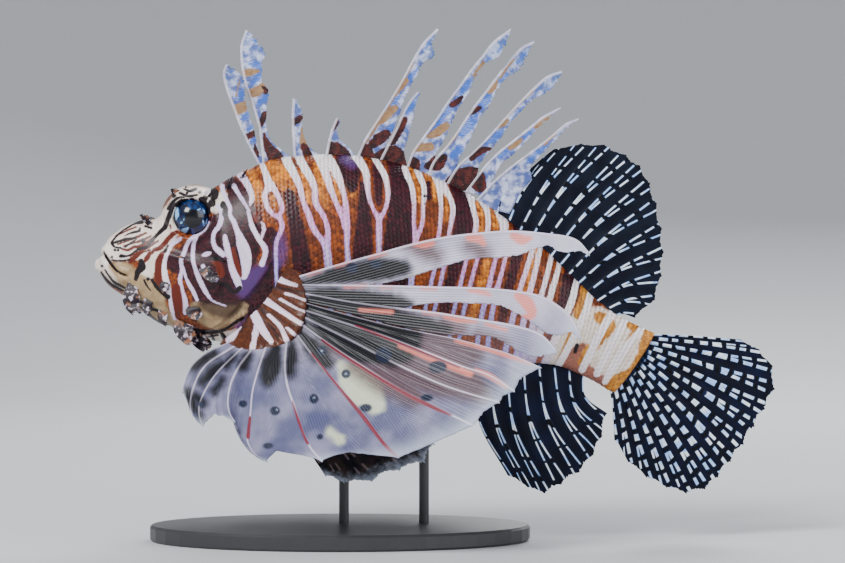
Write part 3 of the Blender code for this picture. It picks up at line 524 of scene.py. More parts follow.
THROAT_RIBS = [[(199, 334), (204, 341), (210, 347), (217, 353)], [(211, 335), (214, 343), (219, 351)],
               [(222, 333), (226, 340), (230, 347)], [(188, 333), (194, 340), (201, 348), (208, 355)]]


print("ridges and grooves:", len(RELIEFS), "ribs of the throat:", len(THROAT_RIBS))

# %% [markdown]
# The relief is a sum: a rounded ridge or groove for each line, and behind the cheek one step down from
# the gill cover's edge to the shoulder, which fades out towards the eye.

# %% Measure the relief


def head_relief(pixels):
    """How far the skin stands out at each place, in millimetres."""
    flat = pixels.reshape(-1, 2)
    rise = np.zeros(len(flat))
    ribs = [Relief("throat_rib", 0.7, 2.6, line) for line in THROAT_RIBS]
    for relief in [*RELIEFS, *ribs]:
        line = smooth_line(np.array(relief.line, float))
        margin = 3 * relief.width
        close = np.flatnonzero(((flat > line.min(0) - margin) & (flat < line.max(0) + margin)).all(1))
        distance, _, _ = line_distance(flat[close], line)
        rise[close] += relief.height * np.exp(-((distance / relief.width) ** 2))
    edge = smooth_line(np.array(GILL_EDGE, float))
    distance, _, side = line_distance(flat, edge)
    front = np.clip(distance / 1.2, 0, 1) * np.clip(1 - distance / GILL_FADE, 0, 1) * (side > 0)
    ends = np.clip((flat[:, 1] - 168) / 30, 0, 1) * np.clip((336 - flat[:, 1]) / 14, 0, 1)
    rise += GILL_STEP * front * ends
    return rise.reshape(pixels.shape[:-1])


skin_pixels = in_picture(plain_skin)
relief = head_relief(skin_pixels)
print("relief from", round(relief.min(), 2), "to", round(relief.max(), 2), "mm")

# %% [markdown]
# ## The sockets and the skin mesh
#
# Each eye sits in a socket, so within the eye's outline the skin sinks behind the eyeball. The finished
# points become one closed mesh, with the measures that the finish needs kept at its points. Its map is
# the body unrolled, from snout to tail one way and round the body the other.

# %% The eye sockets
EYE_X, EYE_Z = -72.6, 161.0
SOCKET_DEPTH, SOCKET_RADIUS = 7.0, 9.6


def socket_shape(points):
    """How far the skin stands out round the eyes: a raised rim, then a drop behind the eyeball."""
    away = np.hypot(points[..., 0] - EYE_X, points[..., 2] - EYE_Z)
    rim = 1.5 * np.exp(-(((away - SOCKET_RADIUS - 1.4) / 1.3) ** 2))
    drop = SOCKET_DEPTH * np.clip((SOCKET_RADIUS - away) / 1.2, 0, 1)
    return np.where(away < SOCKET_RADIUS, -drop, rim)


print("eye sockets:", SOCKET_DEPTH, "mm deep")

# %% [markdown]
# Every smooth piece below is a grid of points with named measures, so one helper turns grids into
# meshes and another puts a mesh in the scene as a piece of the fish.

# %% Meshes from grids of points


def grid_mesh(name, points, fields, round_columns=False, ends=False, unwrap=None):
    """A mesh from a grid of points in millimetres, with one measure of each field at every point."""
    rows, columns = points.shape[:2]
    number = np.arange(rows * columns).reshape(rows, columns)
    right = np.roll(number, -1, axis=1) if round_columns else number[:, 1:]
    left = number if round_columns else number[:, :-1]
    quads = np.stack([left[:-1], left[1:], right[1:], right[:-1]], -1).reshape(-1, 4)
    faces = quads.tolist()
    if ends:
        faces += [number[0].tolist(), number[-1, ::-1].tolist()]
    mesh = bpy.data.meshes.new(name)
    mesh.from_pydata((points.reshape(-1, 3) * MM).tolist(), [], faces)
    add_fields(mesh, fields)
    if unwrap is not None:
        along, around = unwrap
        i, j = np.divmod(np.arange(rows * columns), columns)
        corner_rows = i[quads]
        corner_columns = j[quads[:, :1]] + np.array([0, 0, 1, 1])
        flat = np.stack([along[corner_rows], around[corner_columns]], -1).reshape(-1, 2)
        layer = mesh.uv_layers.new(name="OFBake")
        spread = np.zeros((len(mesh.loops), 2))
        spread[: len(flat)] = flat
        layer.data.foreach_set("uv", spread.astype(np.float32).ravel())
    mesh.shade_smooth()
    return mesh


def add_fields(mesh, fields):
    """Keeps each named measure at the mesh's points."""
    for name, values in fields.items():
        layer = mesh.attributes.new(name, "FLOAT", "POINT")
        layer.data.foreach_set("value", np.asarray(values, np.float32).ravel())


def show(name, mesh, finish, *replaced, slot=None):
    """Puts a mesh in the scene as a piece of the fish that takes the place of some solids."""
    mesh.name = name
    mesh.materials.clear()
    mesh.materials.append(finish.material)
    piece = bpy.data.objects.new(name, mesh)
    bpy.context.scene.collection.objects.link(piece)
    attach(piece, "root")
    if replaced:
        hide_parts(*replaced)
    return piece

# %% [markdown]
# The tube's two ends are closed with a few shrinking rings, rounded like a lip. The lips are drawn in
# a little, so that their relief doesn't reach past the solids' snout.

# %% Close the skin's ends
LIPS_FROM, LIP_SHARE = -116.0, 0.72


def capped(points):
    """The rings with a rounded cap of smaller rings before the first one and after the last one."""
    turns = np.linspace(0, math.pi / 2, CAP_RINGS + 1)[1:-1]
    ends = []
    for ring, ahead in ((points[0], -CAP_BULGE), (points[-1], CAP_BULGE)):
        middle = ring.mean(0)
        ends.append([middle + (ring - middle) * math.cos(a) + (ahead * math.sin(a), 0, 0) for a in turns])
    return np.concatenate([ends[0][::-1], points, ends[1]])


skin_points = plain_skin + skin_normals * (relief + socket_shape(plain_skin))[..., None]
skin_points[..., 0] += (1 - LIP_SHARE) * np.maximum(LIPS_FROM - skin_points[..., 0], 0)
print("skin mesh points:", capped(skin_points).shape[0] * SKIN_SIDES)

# %% [markdown]
# ## Where the markings run
#
# A red lionfish wears white lines in pairs over dark bands. Each line below is drawn from a few
# places in the picture, with its width there, all in pixels. They wrap round the back and are the same
# on the far side, as on the living fish, and below the fins they are carried on down to the belly.

# %% Pale lines of the head
CHEEK_LINES = [
    [(180, 239, 4), (171, 245, 5), (166, 255, 5), (164, 265, 5), (165, 276, 6), (168, 288, 6),
     (170, 298, 4), (172, 308, 5), (175, 318, 4)],
    [(209, 222, 2), (205, 229, 3), (198, 234, 4), (190, 240, 4), (186, 247, 4), (184, 253, 4), (181, 260, 4),
     (182, 270, 4), (180, 279, 4), (182, 290, 4), (185, 300, 5), (186, 312, 6)],
    [(183, 268, 3), (186, 278, 3), (190, 286, 4), (194, 293, 4), (197, 300, 3)],
    [(197, 236, 3), (194, 243, 4), (193, 251, 4), (193, 260, 4), (195, 268, 4), (198, 276, 5),
     (202, 285, 5), (207, 294, 4), (213, 301, 2), (226, 306, 2)],
    [(218, 205, 4), (221, 212, 4), (221, 219, 5), (219, 226, 5), (214, 233, 4), (213, 240, 4),
     (215, 247, 5), (219, 251, 6), (223, 255, 5)],
    [(222, 186, 5), (224, 194, 4), (227, 201, 4), (230, 208, 4), (230, 215, 4), (234, 222, 5),
     (236, 228, 5), (239, 235, 7),
     (242, 244, 11), (245, 253, 12), (246, 262, 11), (246, 270, 8), (244, 277, 6)],
    [(225, 236, 4), (226, 243, 6), (228, 251, 6), (230, 259, 6), (232, 267, 7), (235, 275, 8),
     (238, 283, 7), (240, 288, 5)],
    [(234, 186, 5), (238, 193, 4), (242, 199, 4), (246, 206, 3), (249, 211, 3)],
    [(240, 174, 8), (246, 182, 7), (250, 190, 6), (252, 198, 5), (251, 203, 4)],
    [(248, 211, 3), (250, 218, 4), (252, 226, 5), (256, 234, 5), (260, 241, 5), (265, 248, 6),
     (265, 256, 5), (262, 264, 6)],
    [(262, 222, 3), (264, 229, 4), (262, 236, 3), (260, 242, 3)],
    [(203, 266, 4), (206, 272, 6), (212, 277, 9), (216, 279, 6)],
    [(203, 255, 3), (207, 254, 5), (210, 253, 3)],
    [(190, 309, 3), (192, 313, 4), (197, 318, 4)],
]
print("pale lines of the cheek:", len(CHEEK_LINES))

# %% [markdown]
# On the body the pale lines come in pairs, one pair over each dark band, and lean with the rows of
# muscle towards the tail.

# %% Pale lines of the body
BODY_LINES = [
    [(261, 162, 5), (265, 172, 6), (268, 181, 8), (270, 187, 9)],
    [(268, 186, 4), (265, 194, 5), (266, 203, 5), (269, 210, 5), (275, 216, 4)],
    [(272, 184, 5), (277, 194, 5), (281, 203, 5), (282, 211, 4), (277, 217, 4)],
    [(279, 217, 5), (282, 224, 5), (281, 231, 5), (278, 238, 4), (276, 246, 4), (277, 290, 4), (282, 350, 5)],
    [(284, 152, 9), (288, 163, 9), (293, 172, 8), (297, 180, 7), (300, 188, 6), (302, 196, 5),
     (304, 204, 5), (308, 213, 6),
     (311, 222, 6), (315, 231, 6), (321, 239, 5), (326, 248, 7), (328, 260, 8), (330, 300, 6), (333, 366, 6)],
    [(297, 153, 8), (302, 163, 8), (307, 172, 8), (312, 181, 7), (315, 190, 6), (315, 198, 6),
     (317, 206, 6), (322, 213, 5),
     (326, 222, 5), (328, 232, 5), (328, 242, 5), (328, 252, 5)],
    [(316, 152, 9), (321, 162, 9), (325, 172, 8), (328, 181, 7), (331, 190, 6), (335, 200, 5),
     (339, 210, 5), (343, 219, 5), (345, 227, 6)],
    [(327, 156, 9), (333, 166, 9), (338, 176, 8), (341, 185, 6), (344, 195, 5), (346, 205, 5),
     (347, 215, 5), (347, 225, 6),
     (347, 236, 6), (347, 248, 5), (348, 262, 6), (349, 300, 6), (350, 368, 6)],
    [(356, 156, 9), (362, 165, 8), (366, 173, 7), (367, 182, 6), (368, 191, 5), (370, 201, 4),
     (374, 210, 4), (378, 218, 5)],
    [(374, 157, 6), (380, 167, 6), (385, 176, 6), (387, 185, 5), (388, 194, 5), (387, 203, 4),
     (384, 212, 4), (380, 219, 5)],
    [(379, 217, 6), (379, 228, 6), (379, 240, 6), (379, 252, 5), (379, 264, 6), (379, 300, 6), (379, 370, 6)],
    [(408, 156, 5), (405, 166, 6), (407, 175, 6), (411, 184, 5), (413, 194, 5), (414, 204, 4),
     (414, 214, 4), (414, 225, 4), (415, 237, 5)],
    [(417, 170, 6), (421, 179, 6), (424, 188, 5), (424, 198, 5), (423, 208, 4), (423, 218, 4),
     (421, 228, 4), (417, 237, 5)],
    [(416, 238, 6), (414, 255, 6), (411, 285, 6), (408, 320, 6), (406, 368, 6)],
    [(434, 174, 6), (438, 184, 6), (440, 194, 5), (441, 204, 4), (441, 214, 4), (440, 226, 4),
     (438, 240, 4), (436, 262, 4), (430, 288, 4), (424, 318, 4), (419, 366, 4)],
    [(441, 178, 7), (446, 190, 6), (450, 198, 5), (453, 208, 5), (452, 218, 5), (450, 229, 4),
     (448, 241, 4), (445, 262, 4), (439, 290, 4), (433, 320, 4), (429, 366, 4)],
    [(470, 192, 9), (472, 203, 6), (474, 212, 5), (476, 222, 5), (475, 232, 5), (471, 246, 4),
     (466, 262, 4), (459, 290, 4), (452, 320, 4), (446, 364, 4)],
    [(481, 198, 8), (486, 208, 6), (488, 218, 5), (488, 228, 5), (484, 240, 4), (478, 257, 4),
     (469, 290, 4), (462, 320, 4), (456, 362, 4)],
    [(495, 202, 9), (499, 212, 8), (503, 221, 9), (504, 230, 8), (500, 243, 5), (496, 257, 4),
     (488, 290, 5), (481, 320, 5), (475, 360, 5)],
    [(512, 232, 4), (508, 246, 4), (503, 268, 4), (497, 290, 5), (491, 320, 5), (486, 360, 5)],
    [(532, 232, 5), (533, 246, 5), (527, 268, 5), (519, 293, 5), (512, 322, 6), (504, 358, 6)],
    [(541, 244, 5), (536, 268, 5), (529, 296, 6), (523, 325, 6), (516, 360, 7)],
    [(553, 247, 5), (550, 263, 5), (544, 286, 5), (537, 311, 6), (530, 336, 7), (523, 362, 8)],
    [(560, 254, 5), (558, 270, 5), (551, 294, 6), (544, 318, 7), (537, 342, 8), (531, 364, 8)],
    [(577, 280, 6), (571, 303, 7), (561, 326, 7), (551, 349, 8), (544, 366, 8)],
    [(592, 290, 8), (586, 310, 7), (577, 330, 7), (566, 352, 7), (558, 366, 7)],
    [(614, 310, 8), (602, 330, 8), (592, 350, 8), (582, 370, 7)],
    [(626, 318, 7), (616, 337, 7), (606, 355, 8), (597, 374, 7)],
    [(642, 328, 6), (628, 345, 7), (615, 364, 8), (605, 382, 6)],
]
print("pale lines:", len(CHEEK_LINES) + len(BODY_LINES))

# %% [markdown]
# Under the pale lines lie broad bands of maroon over orange-brown, golden patches on the shoulder, a
# cream snout and stalk, and a tan jaw. Over them run the fine dark and rusty lines of the face.

# %% Dark bands and golden patches
MAROON_BANDS = [
    [(176, 262, 22), (190, 262, 46), (205, 262, 70), (225, 245, 74), (238, 218, 44), (238, 196, 22),
     (232, 184, 14)],
    [(205, 300, 26), (225, 300, 40), (245, 296, 40), (262, 280, 30)],
    [(257, 215, 10), (258, 240, 14), (270, 235, 16), (272, 262, 16), (278, 300, 18), (284, 350, 18)],
    [(289, 192, 9), (293, 212, 13), (297, 232, 16), (301, 258, 18), (305, 300, 18), (310, 362, 14)],
    [(346, 158, 20), (350, 172, 20), (352, 187, 12)],
    [(363, 184, 7), (364, 204, 11), (364, 226, 16), (363, 250, 20), (363, 300, 18), (363, 366, 16)],
    [(377, 164, 10), (378, 180, 10), (379, 203, 6)],
    [(393, 154, 16), (398, 172, 18), (400, 195, 22), (400, 220, 26), (398, 250, 30), (395, 300, 26),
     (392, 368, 20)],
    [(428, 184, 6), (429, 198, 6)],
    [(455, 172, 16), (459, 186, 18), (463, 202, 18), (464, 220, 20), (461, 242, 18), (453, 275, 12),
     (446, 300, 11), (438, 362, 10)],
    [(516, 214, 12), (520, 230, 14), (519, 246, 14), (514, 268, 10), (507, 298, 9), (500, 330, 9),
     (494, 358, 9)],
    [(566, 256, 10), (574, 266, 18), (572, 282, 20), (564, 300, 12), (555, 322, 7), (547, 342, 5)],
]
GOLDEN_PATCHES = [
    [(262, 168, 8), (274, 168, 18), (282, 176, 20), (288, 186, 14), (292, 196, 6)],
    [(250, 172, 9), (256, 184, 10), (259, 198, 8)],
    [(274, 192, 6), (275, 204, 6)],
    [(302, 172, 6), (307, 186, 7), (309, 202, 6)],
    [(317, 166, 7), (321, 180, 9), (324, 196, 9), (327, 206, 6)],
    [(330, 168, 6), (336, 184, 6), (339, 200, 5)],
    [(345, 178, 8), (352, 192, 9)],
    [(412, 170, 7), (417, 184, 6), (419, 200, 6)],
    [(427, 172, 8), (434, 184, 8), (435, 200, 6)],
    [(443, 188, 3), (447, 203, 3), (447, 220, 4)],
    [(478, 204, 6), (481, 216, 6), (481, 230, 5)],
    [(491, 204, 7), (495, 216, 8), (496, 228, 6)],
    [(536, 250, 6), (531, 272, 6), (524, 296, 7)],
    [(488, 262, 8), (480, 292, 8), (472, 320, 8)],
]
print("bands:", len(MAROON_BANDS), "golden patches:", len(GOLDEN_PATCHES))

# %% [markdown]
# The snout and the stalk of the tail are cream, the jaw and the skin under it tan.

# %% Pale areas of head and stalk
CREAM_PATCHES = [
    [(98, 264, 22), (106, 250, 26), (118, 246, 32), (132, 241, 38), (146, 240, 38), (158, 234, 40),
     (167, 224, 26), (172, 212, 18), (178, 200, 12)],
    [(150, 250, 20), (158, 258, 16), (150, 266, 18), (144, 276, 16)],
    [(104, 270, 14), (114, 280, 10), (126, 288, 8)],
    [(182, 193, 14), (196, 193, 14), (208, 199, 16), (216, 206, 14), (222, 196, 10)],
    [(190, 342, 12), (203, 345, 18), (220, 343, 20), (236, 336, 14)],
    [(545, 374, 14), (554, 354, 12), (570, 338, 20), (588, 326, 40), (610, 342, 62), (640, 356, 66),
     (670, 365, 66)],
]
TAN_PATCHES = [
    [(112, 266, 8), (122, 271, 20), (132, 282, 24), (142, 292, 30), (152, 300, 26), (160, 312, 18),
     (172, 322, 10)],
    [(196, 308, 12), (206, 314, 22), (222, 318, 24), (238, 312, 16), (244, 306, 8)],
]
BAG_PATCHES = [[(204, 306, 10), (214, 308, 16), (228, 310, 18), (238, 306, 10)]]
STALK_BLOTCHES = [
    [(586, 286, 9), (584, 300, 11), (578, 315, 9)],
    [(600, 317, 12), (609, 325, 14), (603, 336, 9), (594, 350, 5)],
    [(630, 324, 9), (636, 330, 9), (629, 341, 5)],
    [(650, 334, 14), (648, 346, 18), (642, 358, 13), (636, 370, 14)],
    [(634, 374, 15), (622, 381, 18), (610, 386, 14)],
    [(574, 326, 5), (566, 346, 5), (560, 360, 5)],
    [(588, 346, 5), (580, 362, 5)],
]
print("pale areas:", len(CREAM_PATCHES + TAN_PATCHES + BAG_PATCHES), "blotches:", len(STALK_BLOTCHES))

# %% [markdown]
# The face is finely drawn: near-black folds at the mouth, the brow and the throat, and small spots.

# %% Fine lines of the face
DARK_LINES = [
    [(142, 222, 4), (134, 224, 2), (127, 228, 2), (121, 232, 2), (115, 238, 2), (112, 243, 3),
     (115, 247, 2), (121, 248, 2)],
    [(140, 228, 2), (139, 231, 3), (131, 233, 2), (124, 236, 1)],
    [(136, 238, 2), (127, 239, 3), (120, 241, 3), (113, 243, 3)],
    [(137, 239, 1), (131, 243, 2), (125, 247, 2)],
    [(145, 226, 2), (151, 228, 3)],
    [(174, 203, 3), (171, 211, 5), (168, 219, 5), (165, 227, 5), (160, 232, 4), (155, 237, 3),
     (151, 242, 3), (146, 247, 3),
     (139, 249, 3), (133, 253, 2), (127, 256, 2), (121, 256, 4)],
    [(112, 260, 2), (120, 261, 2), (129, 260, 2)],
    [(104, 252, 2), (107, 258, 3), (112, 265, 3), (118, 272, 2), (125, 275, 2)],
    [(101, 272, 2), (105, 278, 3), (111, 284, 3), (118, 288, 3), (124, 291, 2)],
    [(105, 270, 2), (109, 276, 2), (114, 282, 3), (121, 286, 3), (127, 289, 2)],
    [(144, 280, 2), (147, 286, 2), (151, 291, 1)],
    [(137, 300, 2), (143, 303, 3), (149, 308, 4), (156, 310, 3), (161, 314, 2), (164, 318, 2)],
    [(140, 307, 2), (147, 312, 3), (154, 320, 4), (161, 323, 3), (168, 326, 4)],
    [(152, 280, 3), (156, 286, 4), (161, 292, 3), (168, 297, 5)],
    [(141, 261, 5), (142, 267, 8), (138, 272, 6), (136, 279, 4)],
    [(168, 246, 2), (165, 252, 3)],
    [(182, 322, 4), (189, 328, 4), (199, 331, 4), (212, 332, 4), (224, 330, 3), (236, 322, 3), (243, 318, 3)],
    [(186, 329, 2), (196, 335, 3), (206, 337, 2), (218, 335, 2)],
    [(200, 335, 3), (205, 342, 3), (211, 348, 3), (217, 353, 2)],
    [(212, 335, 3), (215, 343, 3), (219, 350, 2)],
    [(222, 334, 4), (226, 341, 5), (229, 347, 3)],
    [(188, 335, 3), (194, 342, 3), (202, 350, 3)],
    [(577, 345, 4), (575, 352, 4)],
    [(168, 209, 3), (172, 203, 4), (178, 198, 3), (184, 197, 2)],
    [(176, 205, 5), (181, 202, 6), (187, 200, 3)],
    [(188, 206, 2), (193, 203, 4), (199, 206, 3)],
    [(180, 193, 3), (188, 196, 3), (197, 195, 2)],
    [(201, 199, 5), (206, 205, 6), (209, 213, 4)],
    [(184, 189, 2), (190, 191, 3), (196, 189, 3)],
    [(206, 193, 4), (211, 190, 3)],
    [(240, 288, 5), (234, 292, 4), (226, 285, 5), (219, 283, 4)],
]
DARK_SPOTS = [(174, 196, 2.5, 2), (192, 199, 2.5, 1.5), (200, 192, 2, 2), (187, 193, 1.5, 1.5),
              (214, 194, 5, 6), (205, 198, 3, 3), (212, 203, 4, 4), (206, 208, 5, 6), (223, 205, 3, 4),
              (225, 213, 3, 5),
              (115, 250, 1.5, 1.5), (118, 250, 1.5, 1.5), (112, 257, 1.5, 1.5), (102, 266, 1.5, 1.5),
              (148, 279, 2, 2),
              (143, 241, 2, 3), (216, 258, 6, 3), (209, 288, 2, 2), (425, 196, 2, 2), (425, 204, 1.5, 1.5)]


print("fine lines:", len(DARK_LINES), "small spots:", len(DARK_SPOTS))

# %% [markdown]
# Rusty lines run from the eye over the snout, and violet lies over the shoulder behind the cheek.

# %% Rusty lines and violet shade
RUST_LINES = [
    [(177, 232, 4), (173, 234, 5), (169, 238, 5), (165, 243, 5), (160, 248, 5), (154, 250, 4), (152, 253, 3)],
    [(150, 250, 2), (143, 252, 2), (139, 254, 4), (135, 257, 5), (130, 261, 5)],
    [(156, 236, 3), (151, 241, 5), (145, 244, 5), (139, 247, 4), (134, 247, 3), (128, 250, 3), (122, 249, 2)],
    [(162, 254, 5), (159, 261, 7), (158, 270, 7), (158, 278, 7), (161, 285, 4)],
    [(150, 253, 4), (147, 258, 5), (144, 262, 3)],
    [(176, 288, 9), (177, 298, 10), (178, 308, 9), (178, 316, 6)],
    [(233, 249, 4), (235, 258, 5), (238, 268, 5), (241, 276, 3)],
    [(214, 262, 5), (219, 266, 7), (221, 274, 8)],
    [(256, 214, 7), (256, 220, 6)],
    [(170, 225, 2), (171, 228, 2)],
    [(118, 244, 2), (127, 241, 2), (137, 237, 3), (146, 233, 2)],
    [(124, 246, 2), (133, 243, 2), (143, 240, 3), (151, 236, 2)],
    [(130, 256, 2), (141, 251, 3), (150, 246, 3), (158, 241, 2)],
    [(168, 246, 2), (163, 252, 2)],
    [(116, 236, 2), (126, 231, 2), (136, 227, 2)],
]
VIOLET_PATCHES = [
    [(281, 236, 8), (281, 248, 14), (279, 262, 12)],
    [(262, 268, 10), (252, 278, 16), (244, 290, 16)],
    [(346, 158, 12), (352, 164, 10)],
    [(243, 322, 12), (240, 326, 12)],
]
print("bands and patches:", len(MAROON_BANDS) + len(GOLDEN_PATCHES) + len(CREAM_PATCHES) + len(TAN_PATCHES))

# %% [markdown]
# Each drawn set becomes one measure, the depth inside it. One more says how lilac the pale lines are:
# white over the crown, lilac on the flank and bluer towards the belly.

# %% Measure the markings at any points


def skin_fields(pixels):
    """The measures that the skin's finish reads, at places given in the picture's pixels."""
    x, y = pixels[..., 0], pixels[..., 1]
    fields = {
        "pale": stripe_depth(pixels, CHEEK_LINES + BODY_LINES),
        "maroon": stripe_depth(pixels, MAROON_BANDS),
        "golden": stripe_depth(pixels, GOLDEN_PATCHES),
        "cream": stripe_depth(pixels, CREAM_PATCHES),
        "tan": stripe_depth(pixels, TAN_PATCHES),
        "bag": stripe_depth(pixels, BAG_PATCHES),
        "blotch": stripe_depth(pixels, STALK_BLOTCHES),
        "dark": np.maximum(stripe_depth(pixels, DARK_LINES), spot_depth(pixels, DARK_SPOTS)),
        "rust": stripe_depth(pixels, RUST_LINES),
        "violet": stripe_depth(pixels, VIOLET_PATCHES),
    }
    on_body = np.clip((x - 255) / 20, 0, 1) * np.clip((560 - x) / 60, 0, 1)
    on_head = np.clip((265 - x) / 20, 0, 1) * np.clip((x - 160) / 15, 0, 1)
    slope = np.clip((x - 380) * 0.42, 0, None)
    fields["lilac"] = np.maximum(on_body * np.clip((y - slope - 168) / 45, 0, 1), 0.30 * on_head)
    fields["blue"] = np.maximum(on_body * np.clip((y - slope - 225) / 50, 0, 1), 0.38 * on_head)
    fields["belly"] = np.clip((y - 300) / 60, 0, 1) * np.clip((x - 250) / 40, 0, 1)
    return fields


print("measures of the skin:", list(skin_fields(np.zeros((1, 1, 2)))))

# %% [markdown]
# ## The skin's finish
#
# The finish reads the measures and lays the colours over one another: ground, bands, cream and tan
# areas, pale lines, then fine lines. A little noise is added to every depth first, so that no edge is
# ruler-straight. The same recipe dresses skin and scales, so the markings run on across both.

# %% Mix the skin
BROWN_DEEP, BROWN_LIGHT = (0.085, 0.018, 0.006), (0.42, 0.110, 0.014)
GOLD_DEEP, GOLD_LIGHT = (0.20, 0.045, 0.005), (0.90, 0.36, 0.045)
MAROON_DEEP, MAROON_LIGHT = (0.014, 0.002, 0.006), (0.085, 0.009, 0.022)
CREAM_LOW, CREAM_HIGH = (0.72, 0.56, 0.44), (0.90, 0.86, 0.82)
TAN_LOW, TAN_HIGH = (0.22, 0.14, 0.07), (0.62, 0.47, 0.28)
BAG_BROWN, LINE_DARK, RUST = (0.055, 0.028, 0.020), (0.014, 0.005, 0.008), (0.150, 0.022, 0.008)
LINE_WHITE, LINE_LILAC, LINE_BLUE = (0.90, 0.84, 0.86), (0.70, 0.34, 0.68), (0.40, 0.35, 0.78)
BLOTCH_DEEP, BLOTCH_LIGHT = (0.36, 0.14, 0.015), (0.70, 0.34, 0.06)
VIOLET, BELLY_PINK = (0.13, 0.060, 0.24), (0.55, 0.28, 0.24)


def mix_skin(name, scaly):
    """The skin's finish, for the bare skin or for the scales."""
    skin = Finish(name, roughness=0.42, Specular_IOR_Level=0.3, Coat_Weight=0.06, Coat_Roughness=0.15)
    wobble = skin.scaled(skin.noise(2.0, 3.0), 4.4, -2.2)
    fine_wobble = skin.scaled(skin.noise(0.9, 2.0), 1.6, -0.8)

    def within(field, soft, ragged=wobble):
        return skin.inside(field, -soft, soft, ragged)

    if scaly:
        tone = skin.scaled(skin.field("tone"), 0.75, skin.times(skin.noise(1.2), 0.25))
    else:
        tone = skin.clouds(1.4, 3.0, 0.3, 0.72)
    cloud = skin.clouds(14.0, 2.0, 0.35, 0.65)
    ground = skin.mix(tone, BROWN_DEEP, BROWN_LIGHT)
    ground = skin.mix(skin.times(cloud, 0.35), ground, BROWN_DEEP)
    ground = skin.mix(within("golden", 2.5), ground, skin.mix(tone, GOLD_DEEP, GOLD_LIGHT))
    ground = skin.mix(within("maroon", 1.6), ground, skin.mix(tone, MAROON_DEEP, MAROON_LIGHT))
    ground = skin.mix(skin.times(skin.field("belly"), 0.5), ground, BELLY_PINK)
    ground = skin.mix(skin.times(within("violet", 4.0), 0.7), ground, VIOLET)
    ground = skin.mix(within("cream", 2.0), ground, skin.mix(skin.noise(5.0), CREAM_LOW, CREAM_HIGH))
    ground = skin.mix(within("tan", 2.5), ground, skin.mix(skin.noise(3.5, 3.0), TAN_LOW, TAN_HIGH))
    ground = skin.mix(skin.times(within("bag", 4.0), 0.8), ground, BAG_BROWN)
    ground = skin.mix(within("blotch", 1.2), ground, skin.mix(tone, BLOTCH_DEEP, BLOTCH_LIGHT))
    line = skin.mix(skin.field("lilac"), LINE_WHITE, LINE_LILAC)
    line = skin.mix(skin.field("blue"), line, LINE_BLUE)
    middle = skin.step(skin.field("pale"), 0.2, 2.4)
    line = skin.mix(skin.times(middle, 0.35), line, LINE_WHITE)
    ground = skin.mix(within("pale", 0.55, fine_wobble), ground, line)
    ground = skin.mix(within("rust", 0.7, fine_wobble), ground, RUST)
    ground = skin.mix(within("dark", 0.5, fine_wobble), ground, LINE_DARK)
    if scaly:
        # painted shade: each scale is darkened towards deep maroon at its root, where the scale ahead
        # overlaps it, and clears by its middle
        edge = skin.step(skin.field("rim"), 0.0, 0.5)
        ground = skin.mix(skin.scaled(edge, -0.35, 0.35), ground, MAROON_DEEP)
    skin.colour(ground)
    skin.bumps(skin.noise(0.5 if scaly else 0.8, 3.0), 0.06 if scaly else 0.16)
    return skin

# %% [markdown]
# The finished skin takes the place of the six solids of flesh. Along its map runs the real length from
# snout to tail, so that no part of it is squeezed.

# %% Dress the skin
skin_mix = mix_skin("skin_mix", scaly=False)
side_steps = np.linalg.norm(np.diff(plain_skin[:, SKIN_SIDES // 4], axis=0), axis=1)
ring_share = np.concatenate([[0], np.cumsum(side_steps)])
ring_share /= ring_share[-1]
whole_skin = capped(skin_points)
whole_pixels = in_picture(whole_skin)
cap_count = CAP_RINGS - 1
skin_unwrap = (
    np.concatenate([np.zeros(cap_count), 0.01 + 0.98 * ring_share, np.ones(cap_count)]),
    np.linspace(0, 1, SKIN_SIDES + 1),
)
skin_mesh = grid_mesh(
    "skin", swayed(whole_skin), skin_fields(whole_pixels), round_columns=True, ends=True, unwrap=skin_unwrap
)
show(
    "skin", skin_mesh, skin_mix, "head", "lower_jaw", "gill_cover_left", "gill_cover_right", "trunk",
    "tail_stalk", slot="body_skin",
)
print("skin:", len(skin_mesh.polygons), "faces")

# %% [markdown]
# ## The scales
#
# Small overlapping scales cover the body behind the gill covers. Bumps alone would look painted on at
# the outline, so each scale is a thin domed plate of its own, sunk at its root and lifted at its rear
# edge, in staggered rows. Each keeps one random tone, which gives the skin its grain of gold and brown.

# %% Lay the scales
SCALE_LENGTH, SCALE_WIDTH = 2.3, 2.5
SCALE_LIFT, SCALE_SINK = 0.30, 0.15
SCALE_FROM, SCALE_TO = 9.3, 22.6
scale_chance = np.random.default_rng(11)


def on_skin(ring, angle):
    """Points and normals of the skin at fractional ring numbers and angles."""
    column = np.mod(angle / (2 * math.pi) * SKIN_SIDES, SKIN_SIDES)
    i = np.clip(ring.astype(int), 0, len(ring_places) - 2)
    j = column.astype(int) % SKIN_SIDES
    f, g = (ring - i)[..., None], (column - column.astype(int))[..., None]
    k = (j + 1) % SKIN_SIDES
    found = []
    for grid in (skin_points, skin_normals):
        here = (1 - g) * grid[i, j] + g * grid[i, k]
        behind = (1 - g) * grid[i + 1, j] + g * grid[i + 1, k]
        found.append((1 - f) * here + f * behind)
    return found


